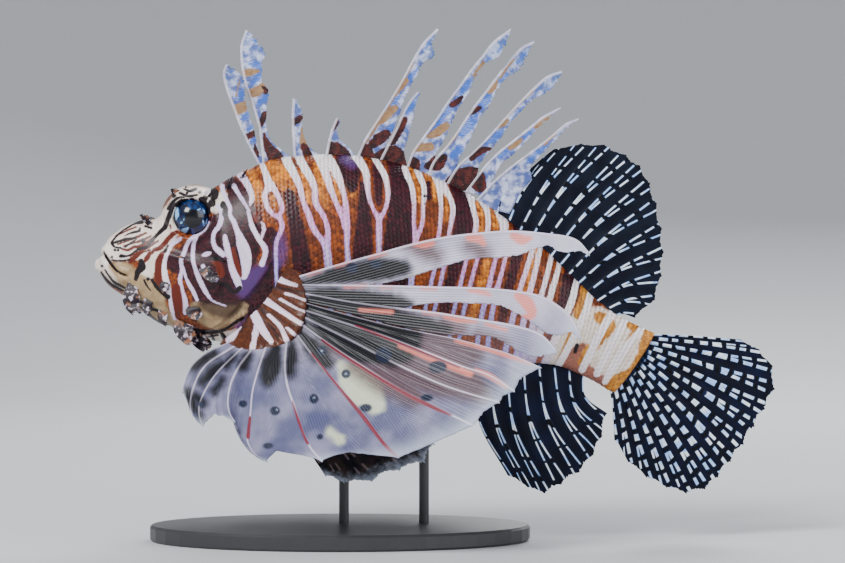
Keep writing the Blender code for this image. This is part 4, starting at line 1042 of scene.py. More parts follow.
def scale_roots():
    """Ring number and angle of each scale's root, in staggered rows of even spacing."""
    flank = plain_skin[:, SKIN_SIDES // 4]
    length = np.concatenate([[0], np.cumsum(np.linalg.norm(np.diff(flank, axis=0), axis=1))])
    first, last = np.interp([SCALE_FROM, SCALE_TO], ring_places, length)
    rings, angles = [], []
    for row, at in enumerate(np.arange(first, last, SCALE_LENGTH * 0.86)):
        ring = np.interp(at, length, np.arange(len(length)))
        round_points = plain_skin[int(ring)]
        steps = np.linalg.norm(np.diff(round_points, axis=0, append=round_points[:1]), axis=1)
        around = np.concatenate([[0], np.cumsum(steps)])
        count = max(int(around[-1] / SCALE_WIDTH / 2) * 2, 12)
        places = (np.arange(count) + 0.5 * (row % 2)) / count * around[-1]
        angles.append(np.interp(places, around, np.linspace(0, 2 * math.pi, len(around))))
        rings.append(np.full(count, ring))
    return np.concatenate(rings), np.concatenate(angles)

# %% [markdown]
# A scale has twelve points: its root under the skin, a domed middle and a rounded rear edge that
# stands clear. All of them are built at once, turned to the skin under each.

# %% Build the scales


def make_scales():
    """All scales as one mesh of small domed plates."""
    ring, angle = scale_roots()
    root, normal = on_skin(ring, angle)
    behind, _ = on_skin(np.minimum(ring + 1, len(ring_places) - 1.001), angle)
    beside, _ = on_skin(ring, angle + 0.02)
    tailward = behind - root
    tailward /= np.linalg.norm(tailward, axis=1, keepdims=True)
    sideways = beside - root
    sideways /= np.linalg.norm(sideways, axis=1, keepdims=True)
    pixels = in_picture(root)
    edge = smooth_line(np.array(GILL_EDGE, float))
    distance, _, side = line_distance(pixels, edge)
    keep = (side < 0) | (pixels[:, 1] < 166) | (pixels[:, 0] > 300)
    keep &= ~((side < 0) & (distance < 2.0) & (pixels[:, 0] < 290))
    ring, angle, root, normal = ring[keep], angle[keep], root[keep], normal[keep]
    tailward, sideways = tailward[keep], sideways[keep]
    count = len(root)
    size = scale_chance.uniform(0.92, 1.08, count)
    outline = [
        (-0.15, -0.45, -SCALE_SINK), (-0.15, 0.0, 0.02), (-0.15, 0.45, -SCALE_SINK),
        (0.55, -0.56, -0.02), (0.55, 0.0, 0.20), (0.55, 0.56, -0.02),
        (1.00, -0.34, SCALE_LIFT * 0.55), (1.18, 0.0, SCALE_LIFT), (1.00, 0.34, SCALE_LIFT * 0.55),
        (0.97, -0.33, -0.10), (1.12, 0.0, -0.10), (0.97, 0.33, -0.10),
    ]
    rows = []
    for back, across, lift in outline:
        rows.append(
            root + tailward * (back * SCALE_LENGTH * size)[:, None]
            + sideways * (across * SCALE_WIDTH * size)[:, None] + normal * (lift * size)[:, None]
        )
    points = np.stack(rows, 1)
    quads = np.array([(0, 3, 4, 1), (1, 4, 5, 2), (3, 6, 7, 4), (4, 7, 8, 5), (6, 9, 10, 7), (7, 10, 11, 8)])
    faces = (np.arange(count)[:, None, None] * len(outline) + quads[None]).reshape(-1, 4)
    mesh = bpy.data.meshes.new("scales")
    mesh.from_pydata((swayed(points).reshape(-1, 3) * MM).tolist(), [], faces.tolist())
    fields = skin_fields(in_picture(points))
    fields["tone"] = np.repeat(scale_chance.uniform(0, 1, count) ** 0.9, len(outline))
    fields["rim"] = np.tile([max(back, 0.0) for back, _, _ in outline], count)
    add_fields(mesh, fields)
    u = np.interp(ring, np.arange(len(ring_share)), ring_share) * 0.98 + 0.01
    v = angle / (2 * math.pi)
    patch = np.array([(back - 0.5, across) for back, across, _ in outline]) * 0.0026
    spread = np.stack([u, v], -1)[:, None, :] + patch[None]
    spread = np.clip(spread, 0.0005, 0.9995).reshape(-1, 2)
    corner = np.array([loop.vertex_index for loop in mesh.loops])
    mesh.uv_layers.new(name="OFBake").data.foreach_set("uv", spread[corner].astype(np.float32).ravel())
    mesh.shade_smooth()
    return mesh


scale_mesh = make_scales()
show("scales", scale_mesh, mix_skin("scale_mix", scaly=True), slot="body_skin")
print("scales:", len(scale_mesh.polygons) // 6, "with", 2 * len(scale_mesh.polygons), "triangles")

# %% [markdown]
# ## Building a fin
#
# A fin is a thin skin held by rays. Each fin here is one closed sheet: a grid of points that runs along
# the rays and across the gaps, given a thickness that swells over each ray, so the rays stand out on
# both faces as they do in life. Between two rays the free edge dips, and a seeded noise frays it.

# %% Closed sheets
FIN_SKIN = 0.35
MIDDLE_RAY, PECTORAL_RAY, PELVIC_RAY = (1.7, 0.55, 0.55), (1.9, 0.8, 0.75), (2.0, 0.7, 0.7)
FINE_STEPS = 60
fraying = np.random.default_rng(7)


def sheet_mesh(name, points, thickness, fields):
    """A closed thin sheet round a grid of middle points, as thick at each point as it says."""
    along, across = np.gradient(points, axis=0), np.gradient(points, axis=1)
    normal = np.cross(along, across)
    normal /= np.maximum(np.linalg.norm(normal, axis=-1, keepdims=True), 1e-9)
    half = normal * (thickness / 2)[..., None]
    rows, columns = points.shape[:2]
    number = np.arange(rows * columns).reshape(rows, columns)
    front = np.stack([number[:-1, :-1], number[:-1, 1:], number[1:, 1:], number[1:, :-1]], -1).reshape(-1, 4)
    back = front[:, ::-1] + rows * columns
    border = np.concatenate([number[0, :-1], number[:-1, -1], number[-1, :0:-1], number[:0:-1, 0]])
    after = np.roll(border, -1)
    rim = np.stack([border, border + rows * columns, after + rows * columns, after], -1)
    mesh = bpy.data.meshes.new(name)
    both = np.concatenate([(points + half).reshape(-1, 3), (points - half).reshape(-1, 3)])
    mesh.from_pydata((both * MM).tolist(), [], np.concatenate([front, back, rim]).tolist())
    add_fields(mesh, {key: np.tile(np.ravel(values), 2) for key, values in fields.items()})
    mesh.shade_smooth()
    return mesh


def along_each(lines, shares):
    """Each line resampled at even shares of its smooth curve."""
    return np.stack([curve(line, np.asarray(shares) * (len(line) - 1)) for line in lines])


def line_lengths(points):
    """How far along each row of points every point lies, in millimetres."""
    steps = np.linalg.norm(np.diff(points, axis=0), axis=-1)
    return np.concatenate([np.zeros((1,) + steps.shape[1:]), np.cumsum(steps, axis=0)])


print("skin of the fins:", FIN_SKIN, "mm thick")

# %% [markdown]
# The soft fins are fans: skin stretched between rays that spread from a foot to the free edge. The skin
# may billow a little to either side between them.

# %% A fan of rays


def fan(rays, columns, rows, dip, fray, branch=0.0, billow=0.0, dips=None):
    """A fan of skin over rays: its grid, and for each point the ray's depth, number and length along.

    dip is how far the edge falls back between two rays, fray how ragged it is, both in millimetres.
    branch is how far apart each ray's two branches are at the edge, as a share of the gap.
    """
    fine = along_each(rays, np.linspace(0, 1, FINE_STEPS))
    count = len(rays)
    across = np.linspace(0, count - 1, (count - 1) * columns + 1)
    spread = curve(fine.reshape(count, -1), across).reshape(len(across), FINE_STEPS, 3)
    spread[::columns] = fine
    nearest = np.rint(across)
    off = across - nearest
    between = 1 - np.abs(2 * (across - np.floor(across)) - 1)
    gap_dip = np.full(count - 1, dip) if dips is None else np.array(dips, float)
    dip_here = gap_dip[np.minimum(across.astype(int), count - 2)] * between**0.7
    tear = fraying.normal(0, 1, len(across))
    tear = np.abs(tear + 0.6 * np.roll(tear, 1)) * fray * (between > 0.01)
    lengths = line_lengths(spread.transpose(1, 0, 2))
    total = lengths[-1]
    kept = 1 - np.clip((dip_here + tear) / total, 0, 0.9)
    shares = np.linspace(0, 1, rows)
    grid = np.empty((rows, len(across), 3))
    for j in range(len(across)):
        for k in range(3):
            grid[:, j, k] = np.interp(shares * kept[j] * total[j], lengths[:, j], spread[j, :, k])
    along = shares[:, None] * (kept * total)[None, :]
    share = along / total
    gap_width = np.gradient(grid, axis=1)
    gap_width = np.linalg.norm(gap_width, axis=-1) * columns
    fork = branch * np.clip((share - 0.35) / 0.65, 0, 1)
    distance = np.abs(np.abs(off)[None, :] - fork) * gap_width
    if billow:
        normal = np.cross(np.gradient(grid, axis=0), np.gradient(grid, axis=1))
        normal /= np.maximum(np.linalg.norm(normal, axis=-1, keepdims=True), 1e-9)
        swell = billow * np.sin(np.pi * between / 2) ** 2 * np.sin(np.pi * np.clip(share, 0, 1) ** 0.8)
        waves = np.where(np.floor(across) % 2 == 0, 1.0, -0.6)
        grid = grid + normal * (swell * waves)[..., None]
    number = np.broadcast_to(nearest, share.shape)
    return grid, {"off_ray": distance, "along": along, "share": share, "ray": number + 0 * share}

# %% [markdown]
# A vane is the other kind of fin skin here, a strip behind one ray, as on the tall spines and on the
# free upper rays of the pectoral fins.

# %% Rays and vanes


def ray_thickness(fields, root, tip, width):
    """Thickness of a fin: its skin, and a rounded ray on it that thins towards the tip."""
    ray = root + (tip - root) * np.clip(fields["share"], 0, 1)
    return FIN_SKIN + np.maximum(ray - FIN_SKIN, 0) * np.exp(-((fields["off_ray"] / width) ** 2))


def evenly(line, shares):
    """Points at even shares of a smooth line's length."""
    dense = smooth_line(line, 12)
    length = np.concatenate([[0], np.cumsum(np.linalg.norm(np.diff(dense, axis=0), axis=1))])
    at = np.asarray(shares) * length[-1]
    return np.stack([np.interp(at, length, dense[:, k]) for k in range(dense.shape[1])], -1)


def vane(line, edge, rows, columns, lead=0.7, fray=0.0):
    """A strip of skin from a ray out to its own free edge: its grid and the ray's measures."""
    shares = np.linspace(0, 1, rows)
    near, far = evenly(line, shares), evenly(edge, shares)
    width = np.maximum(np.linalg.norm(far - near, axis=1, keepdims=True), 0.3)
    towards = (far - near) / width
    ragged = np.abs(fraying.normal(0, 1, rows)) * fray * (0.25 + 0.75 * shares**2)
    width = np.maximum(width - ragged[:, None], 0.3)
    steps = np.linspace(0, 1, columns - 2) ** 1.25
    off = np.concatenate([np.broadcast_to([-lead, -lead / 2], (rows, 2)), width * steps[None, :]], axis=1)
    grid = near[:, None, :] + towards[:, None, :] * off[..., None]
    length = line_lengths(near[:, None, :])
    fields = {
        "off_ray": np.abs(off), "along": np.broadcast_to(length, off.shape),
        "share": np.broadcast_to(shares[:, None], off.shape), "ray": np.zeros(off.shape),
    }
    return grid, fields


# %% [markdown]
# ## Bands on the spines and marks on the pectoral fins
#
# The vanes of the spines are crossed by tan and brown bands, with blue patches between them and dark
# webs at their feet. The pectoral fins are smoky near their roots, with ringed spots, pink bars on the
# blades and crimson rays. They are drawn in the same way as the skin's lines.

# %% Bands and webs of the spines
SPINE_TAN = [
    [(234, 111, 10), (241, 108, 11), (249, 104, 9)],
    [(248, 93, 8), (256, 91, 11), (262, 86, 8)],
    [(244, 72, 8), (250, 71, 8), (258, 70, 3)],
    [(303, 128, 4), (303, 139, 7), (305, 148, 9)],
    [(394, 96, 3), (399, 88, 8), (405, 81, 8)],
    [(366, 132, 5), (374, 124, 8), (384, 117, 10), (395, 108, 7)],
    [(364, 146, 3), (382, 118, 2), (400, 86, 2), (414, 62, 2)],
    [(474, 76, 3), (479, 68, 4), (484, 62, 3)],
    [(428, 137, 4), (436, 133, 9), (446, 126, 8)],
    [(412, 152, 3), (418, 148, 8), (430, 147, 9)],
    [(490, 91, 6), (494, 85, 7), (497, 81, 4)],
    [(500, 78, 2), (510, 63, 3), (514, 58, 2)],
    [(446, 146, 4), (452, 138, 7), (456, 133, 5)],
    [(499, 127, 4), (504, 123, 6), (508, 120, 3)],
    [(504, 118, 2), (520, 103, 3), (534, 90, 2)],
    [(536, 127, 4), (544, 121, 6), (552, 115, 3)],
    [(510, 148, 5), (517, 143, 6), (522, 139, 3)],
    [(544, 144, 4), (550, 138, 5), (555, 134, 3)],
    [(240, 79, 2), (236, 96, 2)],
]
SPINE_BROWN = [
    [(245, 138, 6), (251, 135, 7), (257, 131, 6)],
    [(257, 129, 5), (261, 122, 7), (265, 114, 7)],
    [(264, 93, 3), (266, 90, 5), (262, 86, 3)],
    [(264, 133, 2), (266, 142, 7), (270, 150, 11), (275, 157, 16), (279, 166, 16)],
    [(255, 145, 3), (256, 151, 5), (258, 156, 3)],
    [(293, 122, 8), (298, 120, 7), (304, 115, 4)],
    [(304, 146, 7), (307, 153, 9), (310, 160, 9)],
    [(336, 119, 6), (335, 125, 6), (333, 130, 3)],
    [(330, 143, 5), (334, 148, 16), (338, 156, 24), (342, 166, 26)],
    [(360, 143, 6), (366, 151, 14), (368, 158, 12)],
    [(370, 146, 7), (378, 140, 12), (386, 134, 10)],
    [(392, 142, 8), (399, 130, 9), (404, 120, 8)],
    [(380, 158, 14), (392, 156, 22), (400, 166, 24), (404, 176, 20)],
    [(452, 105, 6), (457, 102, 6), (462, 97, 4)],
    [(408, 164, 9), (414, 163, 12), (416, 172, 8)],
    [(428, 166, 8), (437, 163, 16), (444, 158, 8)],
    [(470, 113, 5), (475, 110, 6), (480, 107, 4)],
    [(452, 184, 16), (462, 180, 24), (474, 178, 22), (480, 186, 14)],
    [(472, 158, 6), (480, 151, 8), (490, 149, 4)],
]
SPINE_BLUE = [
    [(240, 120, 3), (247, 116, 8), (251, 112, 4)],
    [(236, 98, 4), (242, 94, 10), (247, 88, 6)],
    [(248, 129, 4), (254, 126, 6)],
    [(251, 142, 4), (255, 138, 6)],
    [(252, 82, 5), (257, 77, 8), (259, 72, 3)],
    [(248, 62, 4), (256, 64, 8), (260, 68, 5)],
    [(257, 104, 4), (264, 98, 7), (268, 94, 4)],
    [(230, 72, 3), (234, 70, 5)],
    [(250, 38, 3), (256, 40, 4)],
    [(384, 112, 7), (392, 102, 9), (398, 98, 6)],
    [(400, 92, 4), (412, 76, 6), (418, 68, 3)],
    [(385, 138, 5), (392, 126, 7)],
    [(440, 118, 8), (450, 108, 10)],
    [(434, 130, 5), (442, 118, 8)],
    [(458, 98, 5), (466, 86, 8), (470, 79, 5)],
    [(478, 107, 7), (486, 100, 10), (490, 93, 7)],
    [(462, 134, 8), (470, 124, 12), (476, 116, 6)],
    [(498, 82, 5), (506, 74, 6)],
    [(452, 156, 8), (460, 148, 10)],
    [(486, 144, 5), (496, 136, 9), (502, 130, 6)],
    [(512, 120, 4), (524, 108, 5)],
    [(540, 98, 4), (550, 90, 6)],
    [(500, 156, 8), (510, 148, 7)],
    [(522, 140, 4), (534, 128, 5)],
    [(528, 162, 5), (540, 150, 6), (552, 140, 4)],
    [(482, 66, 3), (490, 58, 5)],
    [(498, 52, 4), (503, 44, 4)],
    [(518, 62, 5), (526, 52, 5)],
    [(426, 48, 4), (430, 40, 4)],
    [(408, 112, 6), (414, 102, 6)],
]
print("bands of the spines:", len(SPINE_TAN + SPINE_BROWN + SPINE_BLUE))

# %% [markdown]
# Near its root the pectoral fin is black between the rays, then smoky brown, and it clears outwards.

# %% Shade and smoke of the pectoral fins
FIN_SHADE = [
    [(302, 283, 3), (316, 280, 8), (336, 276, 14), (358, 272, 19), (382, 269, 20), (404, 268, 12)],
    [(304, 291, 3), (326, 293, 9), (356, 297, 12), (386, 300, 13), (410, 304, 5)],
    [(306, 300, 4), (336, 305, 9), (370, 312, 12), (408, 320, 11), (446, 329, 6)],
    [(306, 308, 4), (336, 317, 11), (366, 326, 13), (396, 336, 10)],
    [(306, 316, 4), (334, 327, 13), (358, 339, 17), (382, 351, 14)],
    [(305, 323, 4), (326, 336, 12), (346, 348, 14)],
    [(302, 334, 5), (314, 349, 14), (326, 362, 12)],
    [(304, 301, 12), (325, 310, 38), (348, 321, 62), (372, 330, 66), (394, 338, 52)],
    [(292, 344, 6), (292, 356, 10), (290, 372, 8)],
    [(276, 349, 8), (273, 360, 15), (270, 372, 17), (268, 382, 8)],
    [(248, 356, 6), (243, 366, 9)],
    [(193, 368, 6), (202, 361, 8), (214, 355, 6)],
    [(186, 392, 7), (191, 402, 8), (196, 410, 5)],
    [(203, 382, 7), (212, 372, 8), (222, 364, 5)],
    [(214, 392, 4), (222, 380, 5)],
    [(226, 366, 6), (233, 357, 6)],
    [(200, 414, 3), (202, 424, 4)],
    [(196, 396, 4), (203, 404, 7)],
]
FIN_SMOKE = [
    [(400, 318, 10), (424, 332, 22), (450, 344, 26), (472, 354, 16)],
    [(372, 350, 24), (398, 356, 46), (430, 366, 50), (458, 378, 38), (480, 392, 16)],
    [(356, 366, 12), (384, 380, 22), (414, 396, 16)],
    [(410, 244, 8), (426, 250, 14), (436, 256, 8)],
    [(470, 246, 8), (482, 252, 10)],
    [(444, 326, 12), (460, 330, 12)],
    [(480, 338, 10), (500, 346, 10)],
    [(330, 346, 12), (352, 350, 10)],
]
FIN_CREAM = [
    [(342, 366, 12), (352, 378, 32), (366, 392, 36), (376, 404, 22)],
    [(330, 432, 10), (340, 440, 12)],
    [(420, 272, 4), (404, 280, 3)],
]
FIN_PINK = [
    [(414, 243, 7), (424, 244, 8), (432, 243, 6)],
    [(470, 237, 9), (478, 238, 10), (484, 244, 5)],
    [(514, 236, 8), (522, 240, 10), (530, 238, 5)],
    [(308, 275, 3), (322, 270, 3)],
    [(336, 266, 4), (350, 262, 3)],
    [(370, 257, 4), (386, 253, 4)],
    [(345, 287, 3), (366, 286, 3)],
    [(380, 287, 3), (392, 287, 3)],
    [(422, 288, 4), (436, 289, 3)],
    [(470, 290, 5), (482, 292, 5), (490, 295, 3)],
    [(518, 296, 8), (527, 303, 13), (532, 314, 9), (524, 318, 6)],
    [(424, 312, 4), (438, 314, 4)],
    [(446, 316, 6), (460, 319, 7), (476, 322, 3)],
    [(456, 341, 3), (480, 347, 4), (508, 356, 4), (532, 364, 3)],
    [(476, 370, 3), (490, 376, 5), (506, 387, 4)],
    [(400, 346, 4), (436, 360, 7), (470, 374, 6)],
    [(360, 310, 3), (392, 312, 4)],
    [(486, 324, 3), (506, 330, 3)],
]
FIN_CRIMSON = [
    [(322, 340, 2), (350, 360, 3), (400, 391, 4), (432, 407, 4), (452, 416, 2)],
    [(312, 354, 2), (340, 389, 3), (360, 413, 4), (385, 445, 4), (397, 457, 3)],
    [(292, 402, 2), (300, 425, 3), (308, 445, 3)],
    [(250, 418, 3), (248, 438, 4)],
    [(356, 326, 2), (420, 352, 3), (460, 368, 2)],
]
FIN_SPOTS = [(346, 374, 4.5, 4.5), (314, 399, 4.5, 5), (384, 355, 8, 8), (438, 367, 9, 6), (322, 351, 5, 5),
             (366, 408, 6, 4),
             (275, 411, 5, 4.5), (243, 404, 4.5, 3.5), (202, 405, 3, 3), (320, 437, 3, 3), (268, 446, 5, 3),
             (427, 398, 6, 3.5),
             (376, 264, 6, 4), (352, 268, 6, 5)]
FIN_EYELETS = [(346, 374, 1.8, 1.8), (314, 398, 1.8, 1.8), (277, 410, 1.6, 1.6), (322, 351, 1.6, 1.6)]
print("marks:", len(FIN_SHADE + FIN_SMOKE + FIN_CREAM + FIN_PINK + FIN_CRIMSON + FIN_SPOTS))

# %% [markdown]
# As on the skin, each drawn set becomes one measure at the points of the mesh.

# %% Measure the marks of the fins


def spine_fields(pixels):
    """The measures that the spines' finish reads."""
    return {"tan": stripe_depth(pixels, SPINE_TAN), "brown": stripe_depth(pixels, SPINE_BROWN),
            "azure": stripe_depth(pixels, SPINE_BLUE)}


def pectoral_fields(pixels):
    """The measures that the pectoral fins' finish reads."""
    return {
        "shade": stripe_depth(pixels, FIN_SHADE), "smoke": stripe_depth(pixels, FIN_SMOKE),
        "ivory": stripe_depth(pixels, FIN_CREAM), "pink": stripe_depth(pixels, FIN_PINK),
        "crimson": stripe_depth(pixels, FIN_CRIMSON), "spot": spot_depth(pixels, FIN_SPOTS),
        "eyelet": spot_depth(pixels, FIN_EYELETS), "low": np.clip((pixels[..., 1] - 300) / 80, 0, 1),
    }


print("measures of a spine:", list(spine_fields(np.zeros((1, 1, 2)))))
print("measures of a pectoral fin:", list(pectoral_fields(np.zeros((1, 1, 2)))))

# %% [markdown]
# ## The tall spines of the first dorsal fin
#
# Each spine is a stiff needle with a strip of skin behind it, frayed at the tip, and a low web joins its
# foot to the next one. The strips are separate above the web, so each is its own vane, drawn by the
# spine's line and the strip's rear edge. They lean in turn to each side, as the solids' do.

# %% The lines of the spines
SpineLine = namedtuple("SpineLine", "lean line edge")
FRONT_SPINES = [
    SpineLine(-8,
              [(261, 168), (252, 150), (246, 138), (240, 123), (234, 107), (228, 90), (225, 75), (228, 66)],
              [(266, 168), (258, 146), (255, 131), (251, 118), (247, 105), (246, 92), (245, 80), (238, 71),
               (229, 66)]),
    SpineLine(6, [(264, 168), (262, 145), (259, 125), (253, 105), (246, 85), (242, 65), (241, 45), (246, 29)],
              [(292, 158), (281, 149), (272, 141), (267, 128), (267, 108), (269, 92), (262, 79), (263, 62),
               (266, 52), (258, 40), (248, 30)]),
    SpineLine(-2, [(295, 160), (294, 142), (293, 120), (294, 99)],
              [(324, 158), (313, 150), (306, 141), (303, 126), (303, 112), (297, 99)]),
    SpineLine(2, [(326, 160), (329, 143), (333, 128), (337, 118)],
              [(357, 158), (348, 146), (340, 139), (338, 130), (341, 123), (339, 118)]),
]
REAR_SPINES = [
    SpineLine(-4,
              [(356, 162), (365, 141), (377, 122), (390, 102), (402, 82), (413, 62), (424, 44), (438, 30)],
              [(383, 166), (386, 146), (395, 128), (402, 108), (409, 92), (418, 74), (425, 62), (435, 57),
               (433, 44),
               (439, 31)]),
    SpineLine(2, [(378, 166), (388, 146), (397, 128), (404, 112), (411, 100), (418, 92)],
              [(408, 170), (405, 151), (409, 136), (413, 120), (417, 106), (421, 93)]),
    SpineLine(-4,
              [(406, 172), (413, 153), (425, 136), (438, 118), (450, 100), (462, 84), (472, 70), (482, 58),
                   (494, 43), (511, 30)],
              [(432, 176), (437, 153), (446, 138), (453, 121), (461, 106), (470, 92), (476, 78), (484, 65),
               (496, 60), (505, 48), (511, 32)]),
    SpineLine(4, [(427, 180), (434, 162), (447, 147), (460, 129), (473, 109), (486, 92), (498, 76), (512, 58),
                  (523, 47), (535, 41)],
              [(452, 186), (459, 162), (466, 148), (474, 132), (483, 114), (490, 106), (498, 90), (507, 78),
               (520, 70), (528, 55), (535, 43)]),
    SpineLine(-4,
              [(445, 188), (458, 167), (474, 152), (490, 136), (505, 119), (520, 103), (535, 88), (548, 77),
                   (562, 72)],
              [(474, 192), (480, 166), (491, 150), (503, 136), (513, 120), (526, 107), (540, 97), (553, 89),
               (562, 74)]),
    SpineLine(4, [(466, 192), (486, 166), (500, 152), (515, 140), (530, 128), (545, 116), (562, 107)],
              [(486, 196), (500, 167), (513, 155), (526, 143), (538, 130), (551, 117), (562, 108)]),
    SpineLine(-8,
              [(474, 204), (492, 184), (508, 170), (525, 157), (540, 146), (555, 134), (566, 125),
               (578, 120)],
              [(510, 214), (521, 193), (532, 180), (531, 167), (537, 160), (549, 148), (561, 135), (571, 126),
               (578, 121)]),
]
print("spines:", len(FRONT_SPINES), "in front,", len(REAR_SPINES), "behind")

# %% [markdown]
# The lines are laid in the middle plane and leant outwards, and each strip is thickened round its
# needle. The sheets of a fin are joined into one piece.

# %% Make the spines
SPINE_ROWS, SPINE_COLUMNS = 110, 18
NEEDLE_ROOT, NEEDLE_TAPER = 2.4, 1.9


def in_middle(pixels, lean=0.0):
    """A drawn line in the fish's middle plane, leaning out more and more towards its end."""
    x, y = np.array(pixels, float)[:, :2].T
    share = np.linspace(0, 1, len(x))
    return np.stack([x * PIXEL + PICTURE_LEFT, lean * share**1.5, PICTURE_TOP - y * PIXEL], -1)


def joined_grids(name, sheets):
    """One mesh from several closed sheets, each with the same named measures."""
    holder = bmesh.new()
    for points, thickness, fields in sheets:
        part = sheet_mesh("part", swayed(points), thickness, fields)
        holder.from_mesh(part)
        bpy.data.meshes.remove(part)
    bmesh.ops.recalc_face_normals(holder, faces=holder.faces)
    mesh = bpy.data.meshes.new(name)
    holder.to_mesh(mesh)
    holder.free()
    return mesh


def make_spines(name, spines, first_number):
    """Vanes for a group of spines, as one mesh."""
    sheets = []
    for i, spine in enumerate(spines):
        line, edge = (in_middle(drawn, spine.lean) for drawn in (spine.line, spine.edge))
        grid, fields = vane(line, edge, SPINE_ROWS, SPINE_COLUMNS, fray=1.1)
        fields["ray"] = fields["ray"] + first_number + i
        fields.update(spine_fields(in_picture(grid)))
        needle = NEEDLE_ROOT - NEEDLE_TAPER * fields["share"]
        swell = np.exp(-((fields["off_ray"] / (0.45 * needle)) ** 2))
        thick = FIN_SKIN + np.maximum(needle - FIN_SKIN, 0.1) * swell
        sheets.append((grid, thick, fields))
    return joined_grids(name, sheets)


spine_meshes = {
    "dorsal_spines_front": make_spines("spines", FRONT_SPINES, 0),
    "dorsal_spines_rear": make_spines("spines", REAR_SPINES, len(FRONT_SPINES)),
}
print("spines:", {name: len(mesh.polygons) for name, mesh in spine_meshes.items()}, "faces")

# %% [markdown]
# ## The soft dorsal, anal and tail fins
#
# Their rays fan out from a foot on the body to the points of the free edge, and each ray forks on its
# way. The feet, tips and bows are the solids' own values, so these fins stay where the solids are.

# %% Make the fins of the middle plane
MiddleFin = namedtuple("MiddleFin", "foot tips bow columns rows dip fray branch")
MIDDLE_FINS = {
    "dorsal_fin_soft": MiddleFin(
        [(77.0, 157.0), (97.0, 141.0), (115.0, 124.5), (134.0, 109.0)],
        [(90.0, 181.5), (107.0, 195.5), (121.0, 198.5), (132.5, 198.0), (143.5, 193.0), (150.5, 187.5),
         (155.5, 179.0), (159.0, 168.5), (161.5, 156.0), (162.5, 144.0), (161.5, 132.0), (158.0, 120.0),
         (148.0, 111.0)],
        3.0, 18, 100, 1.6, 0.25, 0.24),
    "anal_fin": MiddleFin(
        [(66.0, 90.0), (86.0, 92.0), (104.0, 92.0), (122.0, 87.0)],
        [(84.0, 32.0), (94.0, 26.0), (102.5, 23.0), (111.0, 27.5),
         (120.0, 33.5), (127.0, 42.0), (131.5, 51.5), (134.0, 63.0)],
        -6.0, 24, 110, 1.8, 0.3, 0.26),
    "tail_fin": MiddleFin(
        [(152.5, 103.0), (151.5, 94.0), (145.5, 85.0), (135.0, 77.0)],
        [(202.0, 100.0), (211.0, 95.0), (218.0, 86.5), (219.0, 75.0), (214.0, 65.0), (208.5, 56.0),
         (203.0, 47.0),
         (196.5, 38.5), (190.0, 30.5), (183.5, 24.5), (174.0, 22.5), (164.0, 25.5), (154.0, 30.5),
         (144.5, 38.5),
         (137.5, 49.5)],
        0.5, 16, 110, 2.0, 0.35, 0.25),
}


def make_middle_fin(name, fin):
    """One fin of the middle plane, as a closed sheet with forked rays."""
    rays = []
    for i, tip in enumerate(fin.tips):
        root = curve(fin.foot, (len(fin.foot) - 1) * i / (len(fin.tips) - 1))
        run = np.array(tip) - root
        square = np.array([-run[1], run[0]]) / np.linalg.norm(run)
        middle = (root + tip) / 2 + square * fin.bow
        rays.append([(x, 0.0, z) for x, z in (root, middle, tip)])
    grid, fields = fan(rays, fin.columns, fin.rows, fin.dip, fin.fray, fin.branch, billow=0.5)
    return joined_grids(name, [(grid, ray_thickness(fields, *MIDDLE_RAY), fields)])


middle_meshes = {name: make_middle_fin(name, fin) for name, fin in MIDDLE_FINS.items()}
print("middle fins:", {name: len(mesh.polygons) for name, mesh in middle_meshes.items()}, "faces")

# %% [markdown]
# ## The pectoral fins
#
# The great fans at the fish's sides have fourteen rays. The upper three carry their skin as long free
# blades, and the rest are joined nearly to their tips. All are drawn as the picture shows the left fin,
# each with how far its tip stands out from the middle plane, and the right fin is its mirror image.

# %% The rays of the pectoral fins
PectoralRay = namedtuple("PectoralRay", "tip_out line")
PECTORAL_RAYS = [
    PectoralRay(72,
                [(300, 277), (340, 265), (380, 254), (420, 243), (460, 236), (510, 232), (550, 235),
                 (575, 240),
                     (590, 254)]),
    PectoralRay(78,
                [(303, 285), (360, 286), (400, 287), (440, 288), (480, 289), (515, 292), (540, 297),
                 (560, 308),
                     (572, 320), (581, 339)]),
    PectoralRay(82,
                [(306, 294), (350, 302), (400, 309), (440, 314), (470, 319), (512, 326), (540, 335),
                 (557, 352)]),
    PectoralRay(86, [(307, 303), (350, 315), (400, 328), (456, 339), (500, 351), (520, 358), (542, 368)]),
    PectoralRay(88, [(307, 311), (340, 322), (380, 335), (420, 350), (460, 366), (490, 376), (515, 392)]),
    PectoralRay(90, [(306, 318), (350, 340), (400, 366), (450, 388), (500, 403)]),
    PectoralRay(92, [(304, 326), (330, 345), (360, 365), (400, 390), (430, 405), (473, 426)]),
    PectoralRay(92, [(298, 336), (320, 365), (340, 388), (360, 412), (380, 440), (398, 458)]),
    PectoralRay(88, [(287, 343), (285, 365), (287, 385), (292, 400), (300, 425), (308, 445), (322, 462)]),
    PectoralRay(80, [(266, 348), (257, 375), (252, 395), (250, 420), (247, 440), (255, 455), (268, 462)]),
    PectoralRay(72, [(252, 350), (237, 370), (229, 390), (228, 410), (235, 423)]),
    PectoralRay(66, [(242, 349), (216, 375), (202, 398), (199, 413), (203, 427)]),
    PectoralRay(60, [(234, 347), (206, 365), (194, 385), (190, 403), (192, 416)]),
    PectoralRay(54, [(228, 343), (205, 354), (189, 370), (181, 392)]),
]
